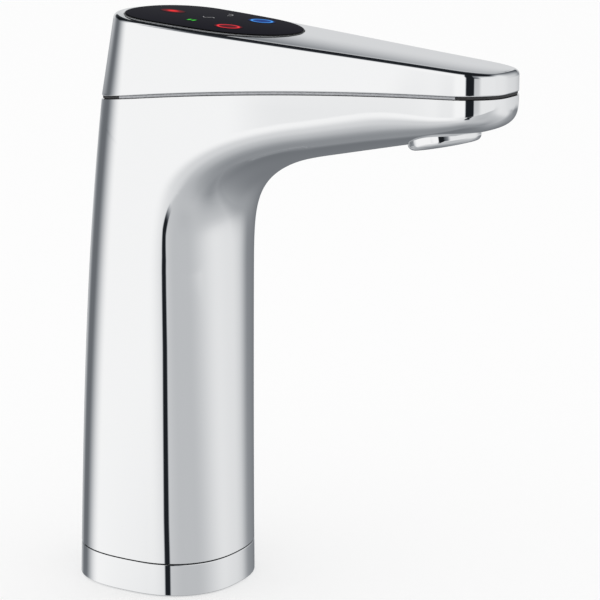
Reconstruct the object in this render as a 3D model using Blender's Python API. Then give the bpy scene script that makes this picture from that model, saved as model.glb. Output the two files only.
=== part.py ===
# Under-bench hot and chilled water dispenser tap with a touch panel on its head.
# The spout leans out along +X, the mirror plane is Y = 0, the bench top is Z = 0.
# The origin is on the underside of the mounting plate, inside the column's foot.

import math

import bpy
import bmesh
from mathutils import Matrix, Vector

for old in list(bpy.data.objects):
    bpy.data.objects.remove(old, do_unlink=True)

# Column and head, outside
column_front = 0.0371          # front of the column on the mirror plane
foot_flare = 0.0011            # how much further the front stands out at the foot
foot_back = 0.0383             # back of the foot behind the origin
foot_half_width = 0.0349
foot_widest = 0.0047           # where the foot is widest
head_half_width = 0.0368
head_widest = 0.0120           # where the head is widest
lean_straight = 0.00691        # part of the lean that grows evenly
lean_flare = 0.01259           # part that grows near the top
tip_half_width = 0.0205        # half width where the tip starts to close
tip_end = 0.1668
tip_close_run = 0.0218         # run over which the tip closes in plan
tip_side_end = tip_end - tip_close_run
side_taper = -0.10             # slope of the side in plan at the tip
foot_corner_power = 2.45
foot_back_power = 2.6
head_back_power = 2.0
tip_plan_power = 2.8

# Top face and parting line
top_height = 0.25375           # top face above the origin
top_slope = -0.0970
lean_end_drop = 0.00375        # the back leans forward up to this far below the top
lean_height = top_height - lean_end_drop
cover_depth = 0.02565          # from the top face's height down to the parting line's crest
parting_crest = top_height - cover_depth
parting_crest_inset = 0.0088   # the crest lies this far behind the tip
parting_crest_x = tip_end - parting_crest_inset
parting_drop = 0.0064          # how much lower it is at parting_drop_x
parting_drop_x = 0.0100
parting_power = 2.5
parting_gap = 0.0018
top_edge_radius = 0.0020

# Cove between column and arm, and the underside
arm_depth = 0.0317             # from the parting line's crest down to the underside
belly_height = parting_crest - arm_depth
belly_run = 0.0413             # the underside has that height this far ahead of the column
belly_station = column_front + belly_run
cove_rise = 0.0554
cove_start = belly_height - cove_rise
cove_run = 0.0325
cove_power = 3.1
belly_rise = 0.0174            # how far the underside climbs from there to the tip
belly_slope = belly_rise / (tip_end - belly_station)
tip_corner_run = 0.0125
tip_chin = 0.0207              # height of the tip that the rounding below leaves
tip_corner_rise = arm_depth - tip_chin
tip_corner_power = 2.2
cove_belly_depth = 0.0150      # depth over which the front rounds into the side
arm_belly_depth = 0.0170
tip_belly_depth = 0.0115
cove_belly_power = 2.7
arm_belly_power = 2.6
tip_belly_power = 3.0

# Walls and fits
body_wall = 0.0030
cover_wall = 0.0024
cover_roof = 0.0046
fit = 0.0003                   # clearance of seated pieces
overrun = 0.0020               # how far a cutter runs past its cut
gasket_inset = 0.0014
gasket_width = 0.0022

# Foot
ring_height = 0.0144
ring_wall = 0.0032
ring_chamfer = 0.0004
ring_lift = 0.0005
column_gap = 0.0006            # shadow line between ring and column
foot_seal_width = 0.0022
foot_seal_height = 0.0020
plate_thickness = 0.0040
collar_top = 0.0340
collar_wall = 0.0025
collar_flange_width = 0.0065
collar_flange_height = 0.0026
screw_head_radius = 0.0024
screw_head_height = 0.0018
screw_radius = 0.0014
screw_hole_radius = 0.0018
grub_socket_radius = 0.0011
grub_socket_depth = 0.0018
grub_radius = 0.0020
grub_height = 0.0240
grub_inset = 0.0004            # how far the grub screw sits below the surface

# Glass panel on the head, in the plane of the top face
glass_front = 0.0648
glass_margin = 0.0073          # chrome left round the glass at the sides
glass_back_margin = 0.0063
glass_front_power = 2.5
glass_back_power = 2.1
glass_front_run = 0.0250
glass_proud = 0.0010
glass_thickness = 0.0025
glass_bevel = 0.0010
ledge_width = 0.0040
pad_thickness = 0.0006
pad_width = 0.0028

# Outlet, heights from the belly along the outlet's axis, up into the arm
outlet_inset = 0.0288          # distance of the outlet's axis behind the tip
outlet_x = tip_end - outlet_inset
outlet_side = 0.0057           # width of belly left beside the outlet ring
outlet_radius = tip_half_width - outlet_side
outlet_drop = 0.0030           # how far the outlet ring stands below the belly
outlet_rim_radius = 0.0010
outlet_lip = 0.0031
outlet_mouth_radius = outlet_radius - outlet_lip
outlet_seat_depth = 0.0015     # depth of the seat cut into the belly for the ring
thread_step = 0.0024           # how much slimmer the thread is than the ring
thread_radius = outlet_radius - thread_step
thread_clearance = 0.0005
thread_top = 0.0090
insert_wall = 0.0022
insert_radius = thread_radius - insert_wall
insert_bottom = -0.0012
insert_top = 0.0039
throat_wall = 0.0039
throat_radius = thread_radius - throat_wall
seal_groove_depth = 0.0016
seal_groove_radius = thread_radius - seal_groove_depth
seal_groove_bottom = 0.0063
seal_section = 0.0007          # radius of the outlet seal's round section
cell_radius = 0.0014
cell_pitch = 0.0034
cell_edge_share = 0.65          # a hole keeps this share of the pitch from the rim
manifold_wall = 0.0017
manifold_radius = thread_radius + thread_clearance + manifold_wall
boss_bottom = 0.0026           # boss inside the belly that carries the manifold
boss_top = 0.0049
boss_margin = 0.0006
boss_radius = manifold_radius + boss_margin
manifold_seat = boss_top + fit
manifold_top = 0.0136
socket_top = 0.0114
barb_radius = 0.0024
barb_bore = 0.0015
barb_length = 0.0090
barb_sink = 0.0028             # how far a barb starts inside the block
barb_root = manifold_radius - barb_sink
barb_bore_end = barb_root - barb_sink

# Water tubes and cable
tube_radius = 0.0040
tube_bore = 0.0027
tube_spacing = 0.0150
tube_x = -0.0080
tube_bend = 0.0550
tube_belly_height = 0.0098     # tube's middle above the belly, in the arm
clip_wall = 0.0009
clip_length = 0.0050
cable_radius = 0.0016
cable_x = -0.0190
cable_bend = 0.0400            # height over which the cable steps forward
cable_bend_drop = 0.0076       # the step ends this far below the chassis
guide_height = 0.0900
guide_thickness = 0.0030
guide_slot_radius = 0.0100
guide_slot_x = 0.0167

# Inside the head
chassis_slope = 0.053
chassis_thickness = 0.0022
chassis_outlet_gap = 0.0190    # the plate stops short of the outlet block
chassis_end = outlet_x - chassis_outlet_gap
chassis_rise = 0.0175          # top of the plate above the underside where it ends
chassis_height = (belly_height + belly_slope * (chassis_end - belly_station)
                  + chassis_rise - chassis_slope * chassis_end)
cable_bend_top = chassis_height - cable_bend_drop
cable_bend_bottom = cable_bend_top - cable_bend
chassis_clearance = 0.0007     # to the inside of the wall all round
pillar_radius = 0.0021
pillar_bore = 0.0013
pillar_bore_depth = 0.0070
pillar_front_inset = 0.0380
pillar_front_x = outlet_x - pillar_front_inset
pillar_side_inset = 0.0059     # from the head's side
pillar_side_y = head_half_width - pillar_side_inset
pillar_screw_radius = 0.0010
pillar_screw_head = 0.0019
cable_hole_radius = 0.0048
cable_top_inset = 0.0075       # from the glass's back edge
light_height = 0.0027
board_thickness = 0.0016
board_inset = 0.0034
tray_inset = 0.0010
tray_rim = 0.0020
tray_floor = 0.0018
board_screw_front_inset = 0.0118
board_screw_back_inset = 0.0080
board_screw_radius = 0.0009
board_screw_head = 0.0017
board_hole_radius = 0.0012
ring_light_front_inset = 0.0222
ring_light_side_inset = 0.0157
ring_light_radius = 0.0062
ring_light_width = 0.0011
alert_back_inset = 0.0152
alert_y = 0.0021
alert_length = 0.0060
alert_width = 0.0026
ready_back_inset = 0.0342
ready_side_inset = 0.0172
ready_spacing = 0.0030
ready_radius = 0.0009

# Rows of the loft, as shares of all its rows, and points of half a row
outer_sections = 36
column_rows_share = 0.14
turn_rows_share = 0.22
back_rows_share = 0.20
crown_rows_share = 0.14
arm_rows_share = 0.15
half_points = 15
bend_weight_share = 0.35       # how much bends draw the points together
foot_points = 20
weld_distance = 0.00001
smooth_angle = math.radians(35.0)
socket_share = 0.8             # size of a screw's socket against its shank
socket_depth_share = 0.6       # depth of the socket against the head


def mix(a, b, share):
    return a + (b - a) * share


def smooth_share(value, start, end):
    share = min(max((value - start) / (end - start), 0.0), 1.0)
    return share * share * (3.0 - 2.0 * share)


def closing(share, power):
    """How wide a superellipse still is, share of the way to its end."""
    share = min(max(share, 0.0), 1.0)
    return (1.0 - share ** power) ** (1.0 / power)


def back_line(z):
    share = z / lean_height
    return -foot_back + lean_straight * share + lean_flare * share ** 3


def front_line(z):
    share = max(1.0 - z / cove_start, 0.0)
    return column_front + foot_flare * share ** 2


def parting_line(x):
    share = max(parting_crest_x - x, 0.0) / (parting_crest_x - parting_drop_x)
    return parting_crest - parting_drop * share ** parting_power


def rim_line(x):
    """Top edge of the body, half the gap below the parting line."""
    return parting_line(x) - parting_gap / 2.0


def top_plane(x):
    return top_height + top_slope * x


def lean_share(z):
    return min(max(z / parting_line(0.0), 0.0), 1.0)


def widest_at(z):
    return mix(foot_widest, head_widest, lean_share(z))


def wall_half_width(x, z):
    """Half width of the outer side wall above the plan point x at height z."""
    share = lean_share(z)
    widest = widest_at(z)
    width = mix(foot_half_width, head_half_width, share)
    if x < widest:
        power = mix(foot_back_power, head_back_power, share)
        depth = widest - back_line(z)
        return width * closing((widest - x) / depth, power)
    span = tip_side_end - widest
    t = (x - widest) / span
    if t <= 1.0:
        fall = 2.0 * t ** 3 - 3.0 * t ** 2
        bend = t ** 3 - t ** 2
        return width * (1.0 + fall) - tip_half_width * fall + bend * span * side_taper
    straight = tip_half_width + side_taper * (x - tip_side_end)
    return straight * closing((x - tip_side_end) / (tip_end - tip_side_end), tip_plan_power)


cove_end = column_front + cove_run


def belly_line(x):
    base = belly_height + belly_slope * (x - belly_station)
    start = tip_end - tip_corner_run
    if x > start:
        closed = closing((x - start) / tip_corner_run, tip_corner_power)
        base += tip_corner_rise * (1.0 - closed)
    return base


def cove_point(turn):
    """Point of the cove's front line; turn goes from 0 at the column to a right angle."""
    x = cove_end - cove_run * math.cos(turn) ** (2.0 / cove_power)
    straight = belly_height + belly_slope * (x - belly_station)
    z = cove_start + (straight - cove_start) * math.sin(turn) ** (2.0 / cove_power)
    return Vector((x, 0.0, z))


def cove_hit(end):
    """Where the line from end to the cove's centre meets the cove."""
    centre = Vector((cove_end, 0.0, cove_start))
    aim = math.atan2(end.z - centre.z, centre.x - end.x)
    low, high = 0.0, math.pi / 2.0
    for _ in range(50):
        middle = 0.5 * (low + high)
        point = cove_point(middle)
        if math.atan2(point.z - centre.z, centre.x - point.x) < aim:
            low = middle
        else:
            high = middle
    return cove_point(0.5 * (low + high))


def spread(start, end, count):
    return [mix(start, end, i / count) for i in range(count)]


def back_stations(count):
    """Plan positions from the back of the head to its widest part, at the rim."""
    back = back_line(rim_line(back_line(rim_line(0.0))))
    widest = head_widest
    return [widest - (widest - back) * math.cos(a) for a in spread(0.0, math.pi / 2.0, count)]


def tip_stations(count):
    power = 2.0 / tip_plan_power
    turns = [math.pi / 2.0 * i / count for i in range(1, count + 1)]
    return [tip_side_end + (tip_end - tip_side_end) * math.sin(a) ** power for a in turns]


def shell_stations(bottom, rows):
    """Front point, end point, corner depth and corner power of every section."""
    stations = []
    column_rows = round(rows * column_rows_share)
    turn_rows = round(rows * turn_rows_share)
    back_rows = round(rows * back_rows_share)
    crown_rows = round(rows * crown_rows_share)
    arm_rows = round(rows * arm_rows_share)
    tip_rows = rows - column_rows - turn_rows - back_rows - crown_rows - arm_rows
    for z in spread(bottom, cove_start, column_rows):
        front = Vector((front_line(z), 0.0, z))
        end = Vector((back_line(z), 0.0, z))
        stations.append((front, end))
    backs = back_stations(back_rows)
    top = rim_line(backs[0])
    for z in spread(cove_start, top, turn_rows):
        end = Vector((back_line(z), 0.0, z))
        stations.append((cove_hit(end), end))
    for x in backs + spread(head_widest, cove_end, crown_rows):
        end = Vector((x, 0.0, rim_line(x)))
        stations.append((cove_hit(end), end))
    for x in spread(cove_end, tip_side_end, arm_rows) + [tip_side_end] + tip_stations(tip_rows):
        stations.append((Vector((x, 0.0, belly_line(x))), Vector((x, 0.0, rim_line(x)))))
    return stations


def corner_form(front):
    """Depth and power of the rounding between the front or belly and the side."""
    if front.z <= cove_start:
        return front.x - widest_at(front.z), foot_corner_power
    turned = smooth_share(front.z, cove_start, belly_height)
    start_depth = column_front - widest_at(cove_start)
    depth = mix(start_depth, cove_belly_depth, turned)
    power = mix(foot_corner_power, cove_belly_power, turned)
    out = smooth_share(front.x, column_front, belly_station)
    depth = mix(depth, arm_belly_depth, out)
    power = mix(power, arm_belly_power, out)
    out = smooth_share(front.x, belly_station, outlet_x)
    depth = mix(depth, tip_belly_depth, out)
    power = mix(power, tip_belly_power, out)
    room = parting_line(front.x) - front.z
    if front.x > cove_end:
        depth = min(depth, room)
    return depth, power


def section_points(front, end, count, samples=240):
    """Points of half a section, from the mirror plane in front to its end on the wall."""
    depth, power = corner_form(front)
    length = (end - front).length
    dense = []
    for i in range(samples + 1):
        share = 0.5 - 0.5 * math.cos(math.pi * i / samples)
        point = front.lerp(end, share)
        rise = closing(1.0 - length * share / depth, power) if length * share < depth else 1.0
        dense.append(Vector((point.x, rise * wall_half_width(point.x, point.z), point.z)))
    if front.x >= tip_end:
        dense = [Vector((p.x, 0.0, p.z)) for p in dense]
    if end.x <= back_line(end.z) + weld_distance:
        dense[-1].y = 0.0
    points = resample(dense, count)
    points[0].y = 0.0
    return points


def resample(dense, count):
    """Spread count + 1 points along a dense line, closer together where it bends."""
    total = sum((b - a).length for a, b in zip(dense, dense[1:]))
    weights = [0.0]
    if total == 0.0:
        return [dense[0].copy() for _ in range(count + 1)]
    for i in range(1, len(dense)):
        step = dense[i] - dense[i - 1]
        bend = 0.0
        if i > 1:
            before = dense[i - 1] - dense[i - 2]
            if before.length > 0.0 and step.length > 0.0:
                bend = before.angle(step)
        weights.append(weights[-1] + step.length / total + bend_weight_share * bend / math.pi)
    points = []
    k = 0
    for i in range(count + 1):
        aim = weights[-1] * i / count
        while k < len(dense) - 2 and weights[k + 1] < aim:
            k += 1
        gap = weights[k + 1] - weights[k]
        share = (aim - weights[k]) / gap if gap > 0.0 else 0.0
        points.append(dense[k].lerp(dense[k + 1], min(max(share, 0.0), 1.0)))
    return points


def loft_grid(bottom, rows, half):
    """Rows of points over the whole outside below the parting line, both sides."""
    grid = []
    for front, end in shell_stations(bottom, rows):
        side = section_points(front, end, half)
        mirrored = [Vector((p.x, -p.y, p.z)) for p in reversed(side[1:])]
        grid.append(mirrored + side)
    return grid


def grid_normals(grid):
    """Outward unit normals of the grid's points, from their neighbours."""
    rows, columns = len(grid), len(grid[0])
    normals = []
    for i in range(rows):
        line = []
        for j in range(columns):
            along = grid[min(i + 1, rows - 1)][j] - grid[max(i - 1, 0)][j]
            if columns - 1 > j > 0:
                across = grid[i][j + 1] - grid[i][j - 1]
            elif (grid[i][0] - grid[i][-1]).length < fit:
                across = grid[i][1] - grid[i][-2]
            else:
                across = grid[i][min(j + 1, columns - 1)] - grid[i][max(j - 1, 0)]
            normal = across.cross(along)
            if i == rows - 1:
                normal = Vector((1.0, 0.0, 0.0))
            line.append(normal.normalized())
        normals.append(line)
    return normals


def new_object(name, bm, material):
    bmesh.ops.recalc_face_normals(bm, faces=bm.faces)
    if bm.calc_volume(signed=True) < 0.0:
        bmesh.ops.reverse_faces(bm, faces=bm.faces)
    mesh = bpy.data.meshes.new(name)
    bm.to_mesh(mesh)
    bm.free()
    item = bpy.data.objects.new(name, mesh)
    bpy.context.collection.objects.link(item)
    if material is not None:
        mesh.materials.append(material)
    mesh.shade_smooth()
    mesh.set_sharp_from_angle(angle=smooth_angle)
    return item


def make_material(name, color, roughness, metallic):
    material = bpy.data.materials.new(name)
    material.use_nodes = True
    shader = material.node_tree.nodes["Principled BSDF"]
    shader.inputs["Base Color"].default_value = (*color, 1.0)
    shader.inputs["Roughness"].default_value = roughness
    shader.inputs["Metallic"].default_value = metallic
    return material


chrome = make_material("chrome", (0.86, 0.87, 0.88), 0.05, 1.0)
glass_black = make_material("glass_black", (0.012, 0.013, 0.015), 0.06, 0.0)
seal_rubber = make_material("seal_rubber", (0.045, 0.045, 0.048), 0.65, 0.0)
grey_plastic = make_material("grey_plastic", (0.20, 0.21, 0.22), 0.45, 0.0)
white_plastic = make_material("white_plastic", (0.80, 0.80, 0.78), 0.40, 0.0)
steel = make_material("steel", (0.62, 0.62, 0.63), 0.30, 1.0)
board_green = make_material("board_green", (0.02, 0.16, 0.07), 0.40, 0.0)
tube_clear = make_material("tube_clear", (0.78, 0.80, 0.80), 0.35, 0.0)
red_light = make_material("red_light", (0.85, 0.03, 0.02), 0.30, 0.0)
blue_light = make_material("blue_light", (0.04, 0.16, 0.85), 0.30, 0.0)
green_light = make_material("green_light", (0.05, 0.75, 0.10), 0.30, 0.0)


def add_rows(bm, grid):
    return [[bm.verts.new(point) for point in line] for line in grid]


def fill_rows(bm, rows):
    for low, high in zip(rows, rows[1:]):
        for j in range(len(low) - 1):
            bm.faces.new((low[j], low[j + 1], high[j + 1], high[j]))


def weld(bm):
    bmesh.ops.remove_doubles(bm, verts=bm.verts, dist=weld_distance)
    bmesh.ops.dissolve_degenerate(bm, dist=weld_distance, edges=bm.edges)


def add_cut(item, cutter, operation="DIFFERENCE"):
    """Boolean on item with a hidden guide object."""
    cut = item.modifiers.new(cutter.name, "BOOLEAN")
    cut.operation = operation
    cut.solver = "EXACT"
    cut.object = cutter
    cutter.hide_render = True
    cutter.display_type = "WIRE"


def lathe(name, profile, material, segments=28):
    """Closed ring or disc turned from (radius, height) points, listed in order."""
    bm = bmesh.new()
    verts = [bm.verts.new((r, 0.0, z)) for r, z in profile]
    edges = [bm.edges.new((a, b)) for a, b in zip(verts, verts[1:])]
    if profile[0][0] > 0.0:
        edges.append(bm.edges.new((verts[-1], verts[0])))
    bmesh.ops.spin(bm, geom=verts + edges, axis=(0.0, 0.0, 1.0), cent=(0.0, 0.0, 0.0),
                   steps=segments, angle=2.0 * math.pi, use_merge=True)
    weld(bm)
    return new_object(name, bm, material)


def round_loops(path, radius, sides):
    """Round sections of a tube whose path keeps to a plane of constant Y."""
    loops = []
    side = Vector((0.0, 1.0, 0.0))
    for i, point in enumerate(path):
        ahead = path[min(i + 1, len(path) - 1)] - path[max(i - 1, 0)]
        up = side.cross(ahead.normalized())
        turns = spread(0.0, 2.0 * math.pi, sides)
        loops.append([point + (side * math.cos(a) + up * math.sin(a)) * radius for a in turns])
    return loops


def loop_solid(bm, loops):
    """Close a solid from a ring of loops that all have the same number of points."""
    made = add_rows(bm, [loop + loop[:1] for loop in loops])
    fill_rows(bm, made + made[:1])
    bmesh.ops.remove_doubles(bm, verts=bm.verts, dist=weld_distance)


def plate_solid(bm, loops):
    """Close a plate from stacked loops, its two ends filled."""
    made = add_rows(bm, loops)
    fill_rows(bm, [line + line[:1] for line in made])
    bm.faces.new(made[0])
    bm.faces.new(made[-1])


def inset_loop(points, distance):
    """Move a closed plan outline inwards by a distance, keeping heights."""
    moved = []
    count = len(points)
    for k, point in enumerate(points):
        along = points[(k + 1) % count] - points[k - 1]
        normal = Vector((along.y, -along.x, 0.0)).normalized()
        moved.append(point - normal * distance)
    return moved


def head_outline(height_at, back_count=9, side_count=9, tip_count=8):
    """Closed outline of the head, anticlockwise, at the height that height_at(x) gives."""
    back = back_line(height_at(back_line(height_at(0.0))))
    widest = widest_at(height_at(head_widest))
    xs = [widest - (widest - back) * math.cos(a)
          for a in spread(0.0, math.pi / 2.0, back_count)]
    xs += spread(widest, tip_side_end, side_count) + [tip_side_end] + tip_stations(tip_count)
    half = [Vector((x, wall_half_width(x, height_at(x)), height_at(x))) for x in xs]
    half[0].y = 0.0
    half[-1].y = 0.0
    lower = [Vector((p.x, -p.y, p.z)) for p in half]
    return lower + half[-2:0:-1]


def column_outline(z, count):
    """Closed outline of the column or foot at height z, anticlockwise."""
    front = Vector((front_line(z), 0.0, z))
    end = Vector((back_line(z), 0.0, z))
    half = section_points(front, end, count)
    lower = [Vector((p.x, -p.y, p.z)) for p in half]
    return [p for p in reversed(lower)] + half[1:-1]


def lift_loop(points, height_at):
    return [Vector((p.x, p.y, height_at(p.x))) for p in points]


column_bottom = ring_lift + ring_height + column_gap


def inner_skin(outer, first_open):
    """Inside of the wall; it keeps to the mirror plane where the outside does."""
    normals = grid_normals(outer)
    inner = []
    for line, line_normals in zip(outer, normals):
        moved = [p - n * body_wall for p, n in zip(line, line_normals)]
        moved[half_points].y = 0.0
        inner.append(moved)
    for point, above in zip(inner[0], outer[0]):
        point.z = above.z
    for point in inner[-1]:
        point.y = 0.0
    for line in inner[:first_open + 1]:
        line[0].y = 0.0
        line[-1].y = 0.0
    for line in inner[first_open:]:
        line[0].z = rim_line(line[0].x)
        line[-1].z = rim_line(line[-1].x)
    return inner


def make_body_shell():
    """Cast column and arm, hollow, open below and along the parting line."""
    outer = loft_grid(column_bottom, outer_sections, half_points)
    closed = [i for i, line in enumerate(outer[:-1]) if (line[0] - line[-1]).length < fit]
    first_open = closed[-1]
    bm = bmesh.new()
    skin_out = add_rows(bm, outer)
    skin_in = add_rows(bm, inner_skin(outer, first_open))
    fill_rows(bm, skin_out)
    fill_rows(bm, [line[::-1] for line in skin_in])
    fill_rows(bm, [skin_out[0], skin_in[0]])
    for end in (0, -1):
        fill_rows(bm, [[line[end] for line in skin_out[first_open:]],
                       [line[end] for line in skin_in[first_open:]]])
    weld(bm)
    return new_object("body_shell", bm, chrome)


def frame_at(origin, pitch):
    """Local frame whose X runs down the slope and whose Z stands on the face."""
    return Matrix.Translation(origin) @ Matrix.Rotation(pitch, 4, "Y")


deck_pitch = math.atan(-top_slope)
deck_frame = frame_at(Vector((0.0, 0.0, top_height)), deck_pitch)
outlet_pitch = -math.atan(belly_slope)
outlet_point = Vector((outlet_x, 0.0, belly_line(outlet_x)))
outlet_frame = frame_at(outlet_point, outlet_pitch)


def place(item, frame):
    item.matrix_world = frame
    return item


def glass_outline(margin, count=14):
    """Outline of the glass in the plane of the top face, inset by margin."""
    grow = 1.0 / math.cos(deck_pitch)
    back = glass_back
    widest = head_widest
    start = glass_front - glass_front_run
    xs = [widest - (widest - back) * math.cos(a)
          for a in spread(0.0, math.pi / 2.0, count)]
    ys = [(wall_half_width(widest, top_height) - glass_margin)
          * closing((widest - x) / (widest - back), glass_back_power) for x in xs]
    for x in spread(widest, start, count // 3):
        xs.append(x)
        ys.append(wall_half_width(x, top_height) - glass_margin)
    for a in [math.pi / 2.0 * i / count for i in range(count + 1)]:
        x = start + glass_front_run * math.sin(a) ** (2.0 / glass_front_power)
        xs.append(x)
        ys.append((wall_half_width(x, top_height) - glass_margin)
                  * closing((x - start) / glass_front_run, glass_front_power))
    half = [Vector((x * grow, y, 0.0)) for x, y in zip(xs, ys)]
    half[0].y = 0.0
    half[-1].y = 0.0
    lower = [Vector((p.x, -p.y, p.z)) for p in half]
    loop = lower + half[-2:0:-1]
    return inset_loop(loop, margin) if margin != 0.0 else loop


# Places of what sits under the glass, from the glass's edges
glass_back = back_line(top_plane(back_line(top_height))) + glass_back_margin
glass_half_width = head_half_width - glass_margin
board_screw_front_x = glass_front - board_screw_front_inset
board_screw_back_x = glass_back + board_screw_back_inset
ring_light_x = glass_front - ring_light_front_inset
ring_light_y = glass_half_width - ring_light_side_inset
alert_x = glass_back + alert_back_inset
ready_x = glass_back + ready_back_inset
ready_y = ready_side_inset - glass_half_width
cable_top_x = glass_back + cable_top_inset


def at_level(points, level):
    return [Vector((p.x, p.y, level)) for p in points]


def framed_solid(name, loops, material, frame):
    bm = bmesh.new()
    plate_solid(bm, loops)
    return place(new_object(name, bm, material), frame)


ledge_level = -(glass_thickness - glass_proud) - fit - pad_thickness - fit


def make_top_cover():
    """Cover of the head: thin walls, a flat sloping roof and a seat for the glass."""
    half_gap = parting_gap / 2.0
    low = head_outline(lambda x: parting_line(x) + half_gap)
    edge = head_outline(lambda x: top_plane(x) - top_edge_radius)
    loops = [low, edge]
    steps = 4
    for i in range(1, steps + 1):
        a = math.pi / 2.0 * i / steps
        drop = top_edge_radius * (1.0 - math.sin(a))
        loops.append(lift_loop(inset_loop(edge, top_edge_radius * (1.0 - math.cos(a))),
                               lambda x, drop=drop: top_plane(x) - drop))
    under = inset_loop(low, cover_wall)
    ceiling = lift_loop(inset_loop(edge, cover_wall), lambda x: top_plane(x) - cover_roof)
    bm = bmesh.new()
    plate_solid(bm, [lift_loop(ceiling, lambda x: top_plane(x) - cover_roof),
                     lift_loop(under, lambda x: parting_line(x) + half_gap)]
                + [low] + loops[1:])
    cover = new_object("top_cover", bm, chrome)
    seat_outline, window_outline = glass_outline(-fit), glass_outline(ledge_width)
    seat = framed_solid("glass_seat", [at_level(seat_outline, ledge_level),
                                       at_level(seat_outline, overrun)], None, deck_frame)
    window = framed_solid("roof_window", [at_level(window_outline, -cover_roof - overrun),
                                          at_level(window_outline, overrun)], None, deck_frame)
    add_cut(cover, seat)
    add_cut(cover, window)
    return cover


def make_glass():
    """Black touch glass, standing proud of the roof with a rounded edge."""
    bottom = -(glass_thickness - glass_proud)
    steps = 4
    loops = [at_level(glass_outline(0.0), bottom),
             at_level(glass_outline(0.0), glass_proud - glass_bevel)]
    for i in range(1, steps + 1):
        a = math.pi / 2.0 * i / steps
        loops.append(at_level(glass_outline(glass_bevel * (1.0 - math.cos(a))),
                              glass_proud - glass_bevel * (1.0 - math.sin(a))))
    framed_solid("touch_glass", loops, glass_black, deck_frame)


def make_glass_pad():
    """Foam frame that seats the glass on its ledge."""
    low = ledge_level + fit
    high = low + pad_thickness
    outer, hole = glass_outline(fit), glass_outline(fit + pad_width)
    bm = bmesh.new()
    loop_solid(bm, [at_level(outer, low), at_level(outer, high),
                    at_level(hole, high), at_level(hole, low)])
    place(new_object("glass_pad", bm, seal_rubber), deck_frame)


def make_parting_gasket():
    """Dark gasket in the shadow line between cover and body."""
    half = parting_gap / 2.0 - fit
    low = head_outline(lambda x: parting_line(x) - half)
    outer, hole = inset_loop(low, gasket_inset), inset_loop(low, gasket_inset + gasket_width)
    bm = bmesh.new()
    loop_solid(bm, [lift_loop(outer, lambda x: parting_line(x) - half),
                    lift_loop(outer, lambda x: parting_line(x) + half),
                    lift_loop(hole, lambda x: parting_line(x) + half),
                    lift_loop(hole, lambda x: parting_line(x) - half)])
    return new_object("parting_gasket", bm, seal_rubber)


def circle(x, y, radius, level, sides=12):
    """Round outline, anticlockwise, at a level."""
    return [Vector((x + radius * math.cos(a), y + radius * math.sin(a), level))
            for a in spread(0.0, 2.0 * math.pi, sides)]


def drill(item, name, holes, low, high, frame):
    """Cut round holes, each (x, y, radius), through item from low to high."""
    bm = bmesh.new()
    for x, y, radius in holes:
        plate_solid(bm, [circle(x, y, radius, low), circle(x, y, radius, high)])
    add_cut(item, place(new_object(name, bm, None), frame))


def screw_loops(x, y, level, shank, radius, head_radius, head_height):
    """Loops of a screw with a sunk socket; a negative shank and height turn it over."""
    top = level + head_height
    socket = radius * socket_share
    return [circle(x, y, radius, level - shank), circle(x, y, radius, level),
            circle(x, y, head_radius, level), circle(x, y, head_radius, top),
            circle(x, y, socket, top),
            circle(x, y, socket, top - head_height * socket_depth_share)]


def numbered_solids(name, groups, material, frame):
    """Like pieces, one for each group of loops, numbered from 1."""
    for i, loops in enumerate(groups):
        framed_solid(f"{name}_{i + 1}", loops, material, frame)


world_frame = Matrix.Identity(4)
skin_inset = ring_wall + fit
seal_inset = skin_inset + foot_seal_width
collar_inset = skin_inset + collar_wall
flange_inset = collar_inset + collar_flange_width
tube_spots = [(tube_x, side * tube_spacing / 2.0) for side in (-1, 1)]
collar_bottom = plate_thickness + fit
collar_shelf = collar_bottom + collar_flange_height


def foot_loop(inset, z=0.0):
    return at_level(inset_loop(column_outline(z, foot_points), inset), z)


def collar_spots():
    """Places of three screws on the middle of the collar's flange."""
    line = foot_loop((collar_inset + flange_inset) / 2.0)
    third = len(line) // 3
    middle = len(line) // 2
    return [line[middle], line[middle + third], line[middle - third]]


def make_base_ring():
    """Chrome foot ring with the column's section."""
    bottom, top = ring_lift, ring_lift + ring_height
    bm = bmesh.new()
    loop_solid(bm, [foot_loop(ring_chamfer, bottom), foot_loop(0.0, bottom + ring_chamfer),
                    foot_loop(0.0, top - ring_chamfer), foot_loop(ring_chamfer, top),
                    foot_loop(ring_wall, top), foot_loop(ring_wall, bottom)])
    return new_object("base_ring", bm, chrome)


def make_foot_seal():
    """Rubber seal under the foot, kept inside the ring."""
    bm = bmesh.new()
    loop_solid(bm, [foot_loop(skin_inset), at_level(foot_loop(skin_inset), foot_seal_height),
                    at_level(foot_loop(seal_inset), foot_seal_height), foot_loop(seal_inset)])
    return new_object("foot_seal", bm, seal_rubber)


def make_mounting_plate():
    """Steel plate inside the foot seal that the column stands on."""
    outline = foot_loop(seal_inset + fit)
    plate = framed_solid("mounting_plate", [outline, at_level(outline, plate_thickness)],
                         steel, world_frame)
    holes = [(x, y, tube_radius + fit) for x, y in tube_spots]
    holes.append((cable_x, 0.0, cable_radius + fit))
    holes += [(spot.x, spot.y, screw_hole_radius) for spot in collar_spots()]
    drill(plate, "plate_holes", holes, -overrun, plate_thickness + overrun, world_frame)


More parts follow.
